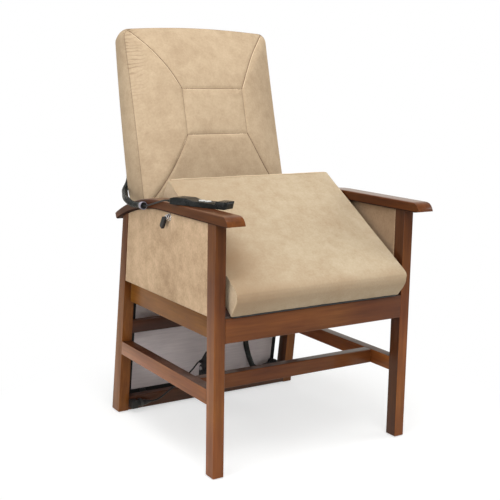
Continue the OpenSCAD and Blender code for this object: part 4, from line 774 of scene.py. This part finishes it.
def seat_cushion():
    rim = outline(*SEAT_HALVES, SEAT_FRONT, SEAT_REAR, SEAT_CORNER, 8, 44, 1.0)
    middle = np.array([0, (SEAT_FRONT + SEAT_REAR) / 2])
    reach = np.abs(rim - middle).max(0)
    front = np.clip(1 - (rim[:, 1:2] - SEAT_FRONT) / 5, 0, 1)
    profile = seat_profile()
    edge_from = len(profile) - len(DOME_INSETS) - len(CRISP_EDGE)
    points = []
    for k, (inset, height) in enumerate(profile):
        insets, heights = inset, np.full(len(rim), height)
        if 0 <= k - edge_from < len(ROLLED_EDGE):
            rolled_inset, rolled_height = ROLLED_EDGE[k - edge_from]
            insets = inset + (rolled_inset - inset) * front
            heights = height + (SEAT_TOP + rolled_height - height) * front[:, 0]
        ring = middle + (rim - middle) * (1 - insets / reach)
        for (x, a), height in zip(ring, heights):
            from_front = a - SEAT_FRONT
            z, pulled_in = height, 0.0
            # The underside's front edge reaches down over the hinge, and the top's rolls down and back
            if height < SEAT_UNDER + 6:
                z -= 3.6 * max(0.0, 1 - from_front / 9)
            if height > SEAT_UNDER + 20:
                near = max(0.0, 1 - from_front / 26)
                z -= 7.0 * (near * min(1.0, (height - SEAT_UNDER - 20) / 40)) ** 2
                pulled_in = 5.0 * (near * min(1.0, max(0.0, (height - 50) / 20))) ** 2
            # Soft swells of the foam, most on the top
            soft = 1.1 * noise.noise(Vector((x, a, height)) / 70)
            soft += 0.35 * noise.noise(Vector((x, a, 2 * height)) / 26)
            z += soft * min(1.0, max(0.0, (height - 20) / 50))
            # Slack along the lower front edge
            if height < SEAT_UNDER + 12 and a < 10:
                z += 0.9 * noise.noise(Vector((x / 17, 3.1, height / 30))) + 0.5
                pulled_in += 0.9 * noise.noise(Vector((x / 11, 7.7, height / 12)))
            points.append(seat_point(x, a + pulled_in, z))
    faces = skin_faces(len(profile), len(rim))
    cushion = new_piece("seat_upholstery", points, faces, seat_suede, 55)
    # The left side faces take the lighter copy, as painted light
    cushion.data.materials.append(seat_side_painted_light)
    for face in cushion.data.polygons:
        face.material_index = int(face.normal.x < -0.7)
    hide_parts("seat_cushion")
    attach(cushion, "seat")


seat_cushion()


def seat_rear_lip():
    """Lip of cloth at the rear seam, coloured paler as a painted highlight."""
    behind, half = SEAT_REAR - 1.4, 246
    edge, thickness = [], []
    for x in np.linspace(-half, half, 60):
        rise = 2.2 + 1.1 * noise.noise(Vector((x, behind, SEAT_TOP)) / 70)
        edge.append(seat_point(x, behind, SEAT_TOP + rise))
        thickness.append(0.0013 + 0.0006 * noise.noise(Vector((x / 22, 5.5, 0.5))))
    lip = tube("seat_rear_lip", np.array(edge), thickness, 6, seat_lip_highlight)
    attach(lip, "seat")


seat_rear_lip()

# ---- Backrest ----
# Foam shape in a boxed suede cover: a raised plain panel in the middle, four mitred panels round it
# whose seams run out to the corners, a seam all round the front edge, and a plain upholstered rear.
# Gather darkens the folds by its left seam with painted shade
back_suede = suede("back_suede", (0.550, 0.425, 0.288), (0.358, 0.256, 0.162), 0.9, 1.0)
seam_thread = surfaced("seam_thread", SUEDE_NAP, {
    "Light": (0.22, 0.14, 0.08), "Dark": (0.15, 0.09, 0.05), "Mottle": 1.0}, (0.3, 0.0002))
# Paler suede for strips beside the seams, as a painted highlight
seam_highlight = suede("seam_highlight", (0.76, 0.62, 0.44), (0.62, 0.48, 0.33), 0.8)
LEAN = math.radians(15.3)
BACK_FOOT_Y, BACK_FOOT_Z = 502.6, 590


def back_point(x, t, n):
    """From the backrest's own plane: t up its lean, n out of its front."""
    return at(x, BACK_FOOT_Y + t * math.sin(LEAN) - n * math.cos(LEAN),
              BACK_FOOT_Z + t * math.cos(LEAN) + n * math.sin(LEAN))


# The back's half width, height and crown, and the centre panel's half width, foot and head
BACK_HALF, BACK_HIGH, BACK_CROWN = 236.0, 518.0, 52.0
CENTRE_HALF, CENTRE_LOW, CENTRE_HIGH = 98.6, 201.0, 332.0
CORNER_STEPS, SIDE_STEPS = 12, 40
# Mitre seams from the centre panel: (start, end near the back's corner, bow)
MITRES = (((CENTRE_HALF, CENTRE_HIGH), (218, 508), (-7, 7)),
          ((-CENTRE_HALF, CENTRE_HIGH), (-218, 508), (7, 7)),
          ((CENTRE_HALF, CENTRE_LOW), (226, 9), (-6, -6)),
          ((-CENTRE_HALF, CENTRE_LOW), (-226, 9), (6, -6)))
CENTRE_SEAMS, UPRIGHT_SEAMS = 4, (0, 2)  # the first four seams run round the centre panel, two upright
CREASES_X, CREASES_T = (192, 214), 428  # two creases near the top right corner


def crown_at(u):
    """Front height from the edge seam (u = 0) to the centre panel (u = 1)."""
    return BACK_CROWN * (1 - (1 - u) ** 1.35) + 6 * math.sin(math.pi * u ** 0.8)


def boxing(t):
    """Depth of the side boxing at a height up the lean."""
    u = max(min(t / BACK_HIGH, 1), 0)
    return 61 + 40 * (1 - u) ** 0.8 * math.sin(math.radians(min(90, 30 + 324 * u)))


def seam_lines():
    """The front seams as (x, t) polylines: the centre panel and the four bowed mitres."""
    box = [(CENTRE_HALF, CENTRE_LOW), (CENTRE_HALF, CENTRE_HIGH),
           (-CENTRE_HALF, CENTRE_HIGH), (-CENTRE_HALF, CENTRE_LOW)]
    lines = []
    for a, b in zip(box, box[1:] + box[:1]):
        lines.append([(a[0] + (b[0] - a[0]) * u, a[1] + (b[1] - a[1]) * u) for u in np.linspace(0, 1, 30)])
    for start, end, bow in MITRES:
        lines.append([(start[0] + (end[0] - start[0]) * u + bow[0] * math.sin(math.pi * u),
                       start[1] + (end[1] - start[1]) * u + bow[1] * math.sin(math.pi * u))
                      for u in np.linspace(0, 1, 70)])
    return lines


SEAMS = seam_lines()
SEAM_POINTS = np.array([p for line in SEAMS for p in line])


def seam_dip(x, t):
    """Depth to which the nearest seam pulls the front in."""
    near = np.hypot(SEAM_POINTS[:, 0] - x, SEAM_POINTS[:, 1] - t).min()
    return 2.6 * math.exp(-(near / 4.2) ** 2) + 1.2 * math.exp(-(near / 13) ** 2)


BACK_RIM = outline(BACK_HALF, BACK_HALF, 0, BACK_HIGH, 25, CORNER_STEPS, SIDE_STEPS, -2.0)
# The top edge arches up towards its middle
upper_share = np.clip(BACK_RIM[:, 1] / (BACK_HIGH / 2) - 1, 0, 1)
BACK_RIM[:, 1] += 8 * upper_share * (np.cos(0.5 * math.pi * BACK_RIM[:, 0] / BACK_HALF) - 0.6)
CENTRE_PANEL = outline(CENTRE_HALF, CENTRE_HALF, CENTRE_LOW, CENTRE_HIGH, 3, CORNER_STEPS, SIDE_STEPS)


def front_height(x, t, u):
    """Front surface: the dome, its seams, gathers by the edge seam, soft foam and two creases."""
    slack = 0.0
    if u < 0.35 and abs(x) > 150 and t > 60:
        fade = math.sin(math.pi * u / 0.35) * (0.35 + 0.65 * min(1, max(0, (t - 260) / 200)))
        slack = fade * (1.5 * noise.noise(Vector((x / 60, t / 9, 1.7)))
                        + 0.8 * noise.noise(Vector((x / 40, t / 5, 9))))
    soft = 1.2 * noise.noise(Vector((x, t, 0)) / 75) + 0.4 * noise.noise(Vector((x, t, 40)) / 24)
    for crease in CREASES_X:
        off = x - crease + 0.45 * (t - 425) + 0.004 * (t - 425) ** 2
        slack -= 3.0 * math.exp(-(off / 3.2) ** 2 - ((t - CREASES_T) / 26) ** 2)
    return crown_at(u) - seam_dip(x, t) + slack + soft * min(1, 4 * u)


def waist(t):
    """Share by which the edge seam draws in between the corners."""
    return 4.5 * math.sin(math.pi * min(1, max(0, t / BACK_HIGH))) / BACK_HALF


def edge_seam(share, height):
    """Points of the seam round the front edge, at a share of the rim's width."""
    return [(x * (share - waist(t)), t + (0.8 if t < 200 else -0.8), height) for x, t in BACK_RIM]


def low_lift(t):
    """How far the cover's rear is drawn up along the lower edge."""
    return 28 * max(0, 1 - t / 60)


def backrest():
    """Whole cover, from the rear board round to the centre panel; gives its surface for the seams."""
    points = []
    middle = np.array([0, BACK_HIGH / 2])
    half = np.array([BACK_HALF, BACK_HIGH / 2])
    # Rear board and its padded rim, with a groove between them
    for inset in (150, 110, 75, 45, 28, 20, 15, 10, 6, 3, 1, 0):
        ring = middle + (BACK_RIM - middle) * (half - inset) / half
        wide = 1 + 1.5 * min(1, max(0, 1 - inset / 60)) / BACK_HALF
        edge = 9 * (1 - min(1, inset / 14)) ** 2.2
        groove = 2.4 * math.exp(-((inset - 15) / 2.6) ** 2)
        fullness = 2.2 * min(1, max(0, (inset - 18) / 60))
        for (x, t), (_, rim_t) in zip(ring, BACK_RIM):
            depth = boxing(t) + fullness - edge - groove
            points.append((x * wide, t + low_lift(rim_t) * (1 - inset / 200), -depth))
    # Side boxing, bulged and drawn round to the front
    for f in np.linspace(0.1, 0.9, 10):
        for x, t in BACK_RIM:
            bulge = 1 + (1.5 * (1 - f) + 3.2 * math.sin(math.pi * f)) / BACK_HALF - waist(t) * f ** 2
            soft = 0.7 * noise.noise(Vector((x, t, 100 * f)) / 40) if abs(x) > 200 else 0
            arched = 6.4 * math.sin(math.pi * f) * min(1, max(0, (t - 480) / 38))
            points.append((x * bulge + soft, t + low_lift(t) * (1 - f) ** 1.5 + arched,
                           (9 - boxing(t)) * (1 - f)))
    points.extend(edge_seam(0.9965, 0.0))
    # Mitred panels up to the centre panel
    for u in [0, 0.006, 0.014, 0.026, 0.042, *np.linspace(0.065, 0.96, 40), 0.975, 0.99]:
        for (x0, t0), (x1, t1) in zip(BACK_RIM, CENTRE_PANEL):
            x = x0 * (1 - waist(t0)) * (1 - u) + x1 * u
            t = t0 + (t1 - t0) * u
            points.append((x, t, front_height(x, t, u) + (1.4 if 0 < u < 0.05 else 0)))
    # Centre panel
    centre_t = (CENTRE_LOW + CENTRE_HIGH) / 2
    for share in (1.0, 0.96, 0.9, 0.8, 0.68, 0.54, 0.4, 0.26, 0.12, 0.03):
        for x1, t1 in CENTRE_PANEL:
            x, t = x1 * share, centre_t + (t1 - centre_t) * share
            points.append((x, t, BACK_CROWN + 1.5 * (1 - share ** 3) - seam_dip(x, t)
                           + 0.6 * noise.noise(Vector((x, t, 5)) / 60)))
    world = [back_point(*p) for p in points]
    faces = skin_faces(len(points) // len(BACK_RIM), len(BACK_RIM))
    piece = new_piece("back_upholstery", world, faces, back_suede, 70)
    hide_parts("back_cushion", "outer_back")
    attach(piece, "backrest")
    return BVHTree.FromPolygons(world, [f for f in faces if len(f) == 4])


back_surface = backrest()


def seam_stitching():
    """Sunk seams: each joint reads as a dark line in its groove, most with a painted highlight beside it."""
    inward = back_point(0, 0, 0) - back_point(0, 0, 1)

    def laid(name, line, radius, material):
        """Strip of thread, or of paler cloth as a painted highlight, along a line on the front surface."""
        hits = [back_surface.ray_cast(back_point(x, t, 150), inward)[0] for x, t in line]
        path = np.array([hit for hit in hits if hit is not None])
        strip = tube(name, path, [radius] * len(path), 6, material)
        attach(strip, "backrest")

    for k, line in enumerate(SEAMS):
        mitre = k >= CENTRE_SEAMS
        upright = k in UPRIGHT_SEAMS
        laid(f"back_seam_{k}", line, 0.0011 if mitre else 0.0005 if upright else 0.0008, seam_thread)
        # A paler strip on the lower or outer side of the groove, as a painted highlight
        if not upright:
            lip = [(x + (1.6 * math.copysign(1, x) if mitre else 0), t - 2.4) for x, t in line[2:-2]]
            laid(f"back_seam_lip_{k}", lip, 0.0009, seam_highlight)
    path = [back_point(*spot) for spot in edge_seam(0.9975, 0.4)]
    path = np.array([*path, path[0]])
    edge = tube("back_edge_seam", path, [0.0008] * len(path), 6, seam_thread)
    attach(edge, "backrest")


seam_stitching()

# ---- Conduits, hand-control wire and power lead ----
# Ribbed dark grey conduit slack enough to follow the back, clipped once to the outer back: one length
# goes down to an elbow on the rear cover, the other forward to a pale collar beside the left armrest.
CONDUIT_RADIUS = 0.0085
CONDUIT_RIB = 0.0046
RIB_DEPTHS = (0.0, 0.0, 0.0010, 0.0012)  # at each quarter of a rib
PLAIN_ENDS = 12
conduit_plastic = moulded("ribbed_plastic", (0.007, 0.009, 0.009), (0.016, 0.020, 0.020), 700.0, 0.24, 0.2)
sheath_black = moulded("cable_sheath", (0.010, 0.010, 0.011), (0.03, 0.03, 0.03), 1200.0, 0.45, 0.22)
COLLAR_X = -317.8
UPPER_ROUTE = [
    (-175.5, 647, 716), (-185, 647, 716), (-198, 646.5, 712.5), (-208, 645.5, 704), (-214, 643.5, 692),
    (-217, 641, 678), (-220, 638, 662), (-228, 632, 647), (-239, 621, 638.5), (-250, 602, 634),
    (-260, 579, 631.5), (-272, 552, 629.5), (-286, 520, 628), (-299, 487, 628), (-309.5, 459, 629.5),
    (-315.5, 436, 628), (COLLAR_X, 411, 625), (COLLAR_X, 386, 625), (COLLAR_X, 366, 627.3),
    (COLLAR_X, 358, 628), (COLLAR_X, 348, 628)]
LOWER_ROUTE = [
    (244, 559, 64), (234, 559, 64), (224, 558.8, 63.6), (205, 557, 60), (181, 556, 58.5), (163, 556, 67),
    (153, 556, 86), (143, 555, 112), (133, 552, 145), (124, 538, 180), (116, 515, 212), (106, 496, 245),
    (88, 490, 285), (60, 494, 325), (28, 506, 362), (-8, 522, 400), (-40, 551, 440), (-68, 582, 485),
    (-90, 608, 535), (-104, 625, 590), (-114, 633, 640), (-125, 641, 680), (-140, 645.5, 704),
    (-155, 647, 714.5), (-165, 647, 716), (-174.5, 647, 716)]
WIRE_ROUTE = [
    (COLLAR_X, 348, 628), (COLLAR_X, 338, 628), (-317, 322, 630.5), (-315.5, 302, 636), (-314, 282, 641.5),
    (-313.8, 262, 647), (-314, 246, 651.5), (-313, 230, 655), (-309.3, 219.2, 655.5), (-306.3, 212.5, 655.5)]
LEAD_ROUTE = [
    (-207, 527, 25), (-199, 527, 25), (-187, 527.5, 26), (-171, 528, 32), (-152, 528, 43.5),
    (-130.5, 528, 57), (-105, 528, 74), (-84, 526.5, 88), (-72, 522, 101), (-65, 516.5, 113),
    (-60.5, 512, 122), (-56, 510.4, 126.1), (-51, 510.4, 126.1)]


def smooth_route(points, step):
    """Points every step or so along a smooth curve through the route."""
    p = [np.array(q, float) for q in points]
    fine = []
    for i in range(len(p) - 1):
        a, b, c, d = p[max(i - 1, 0)], p[i], p[i + 1], p[min(i + 2, len(p) - 1)]
        for u in np.linspace(0, 1, 16, endpoint=False):
            fine.append(0.5 * (2 * b + (c - a) * u + (2 * a - 5 * b + 4 * c - d) * u * u
                               + (3 * b - a - 3 * c + d) * u ** 3))
    fine = np.array(fine + [p[-1]])
    run = np.concatenate([[0], np.cumsum(np.linalg.norm(np.diff(fine, axis=0), axis=1))])
    even = np.linspace(0, run[-1], max(2, math.ceil(run[-1] / step) + 1))
    return np.stack([np.interp(even, run, fine[:, k]) for k in range(3)], axis=1)


def conduit(name, route, node):
    """Ribbed conduit with a plain cuff at each end."""
    path = smooth_route([at(*p) for p in route], CONDUIT_RIB / len(RIB_DEPTHS))
    radii = [CONDUIT_RADIUS] * len(path)
    for i in range(PLAIN_ENDS, len(path) - PLAIN_ENDS):
        radii[i] -= RIB_DEPTHS[i % len(RIB_DEPTHS)]
    hose = tube(name, path, radii, 20, conduit_plastic, sharp=50)
    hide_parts(node)
    return hose


upper_conduit = conduit("upper_conduit", UPPER_ROUTE, "conduit_upper")
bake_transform(upper_conduit)
lower_conduit = conduit("lower_conduit", LOWER_ROUTE, "conduit_lower")
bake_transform(lower_conduit)


def plain_cord(name, route, radius, node):
    """Smooth sheathed cord."""
    path = smooth_route([at(*p) for p in route], radius * 1.5)
    flex = tube(name, path, [radius] * len(path), 14, sheath_black)
    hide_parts(node)
    return flex


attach(plain_cord("hand_control_wire", WIRE_ROUTE, 0.0022, "handset_wire"), "frame")
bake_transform(plain_cord("actuator_lead", LEAD_ROUTE, 0.0023, "power_lead"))
eased("conduit_clip", box_plastic, 0.0008)

# ---- Conduit collar and hand control ----
# The wire leaves the conduit through a pale snap-in collar and runs over the armrest's edge to a slim
# black hand control with a sloping, undercut nose and two pale buttons.
collar_plastic = moulded("lilac_plastic", (0.27, 0.26, 0.32), (0.21, 0.20, 0.26), 800.0, 0.4)
collar = eased("conduit_collar", collar_plastic, 0.0005)
collar.data.materials.append(sheath_black)
COLLAR_MOUTH = at(COLLAR_X, 346, 628)
MOUTH_INNER, MOUTH_OUTER, FLARE = 0.0045, 0.0076, 0.22
# The collar's mouth is opened out a little and is dark inside
for vertex in collar.data.vertices:
    off = vertex.co - COLLAR_MOUTH
    if MOUTH_INNER < math.hypot(off.x, off.z) < MOUTH_OUTER and off.y < 0.004:
        vertex.co += Vector((off.x, 0, off.z)) * FLARE
for face in collar.data.polygons:
    spots = [(collar.data.vertices[v].co - COLLAR_MOUTH) / (1 + FLARE) for v in face.vertices]
    if max(math.hypot(spot.x, spot.z) for spot in spots) < MOUTH_OUTER:
        face.material_index = 1

handset_plastic = moulded("handset_plastic", (0.010, 0.011, 0.011), (0.022, 0.024, 0.024), 1300.0, 0.27, 0.14,
                          (0.2, 0.0001))
handset = eased("handset_body", handset_plastic, 0.0007)
# The nose slopes down in front and is undercut
HANDSET_TURN = math.radians(24)
HANDSET_AHEAD = Vector((math.sin(HANDSET_TURN), -math.cos(HANDSET_TURN), 0))
HANDSET_THICK = 0.021
NOSE_LONG, NOSE_DROP = 0.035, 0.003
UNDERCUT_LONG, UNDERCUT = 0.013, 0.006
nose = max(vertex.co.dot(HANDSET_AHEAD) for vertex in handset.data.vertices)
sole = min(vertex.co.z for vertex in handset.data.vertices)
for vertex in handset.data.vertices:
    behind = nose - vertex.co.dot(HANDSET_AHEAD)
    height = (vertex.co.z - sole) / HANDSET_THICK
    if behind < NOSE_LONG and height > 0.5:
        vertex.co.z -= NOSE_DROP
    vertex.co -= HANDSET_AHEAD * UNDERCUT * max(0, 1 - behind / UNDERCUT_LONG) * max(0, 1 - height)
label_grey = moulded("label_grey", (0.022, 0.023, 0.023), (0.03, 0.03, 0.03), 1600.0, 0.4, 0.15)
eased("handset_face", label_grey, 0.0002, 1)
button_plastic = moulded("button_plastic", (0.62, 0.63, 0.62), (0.52, 0.53, 0.52), 900.0, 0.28)
for node in ("button_up", "button_down"):
    eased(node, button_plastic, 0.0004)

# ---- Recline lever ----
# Chromed spindle and blade under the left armrest, with a slim black moulded grip pushed on to the
# blade's end.
chrome_plate = surfaced("chrome_plate", DRAWN_STEEL, {
    "Color": (0.78, 0.78, 0.80), "Dull": (0.70, 0.70, 0.72), "Stretch": (1.0, 1.0, 1.0), "Roughness": 0.14},
    (0.03, 0.0001), (("Metallic", 1.0),))
for node in ("lever_bush", "release_lever"):
    eased(node, chrome_plate, 0.0004)
grip = eased("release_grip", box_plastic, 0.0014, 3)
# Slimmed, drawn out along the blade and turned a little about its middle
GRIP_SHIFT = Vector((0, -0.0045, 0.0065))
GRIP_ALONG = Vector((0, 0.418, -0.909))
hub = sum((vertex.co for vertex in grip.data.vertices), Vector()) / len(grip.data.vertices)
slimmed = Matrix.Scale(0.72, 4, Vector((1, 0, 0))) @ Matrix.Scale(1.16, 4, GRIP_ALONG)
turned = Matrix.Rotation(math.radians(8), 4, "X") @ slimmed
grip.data.transform(Matrix.Translation(hub + GRIP_SHIFT) @ turned @ Matrix.Translation(-hub))
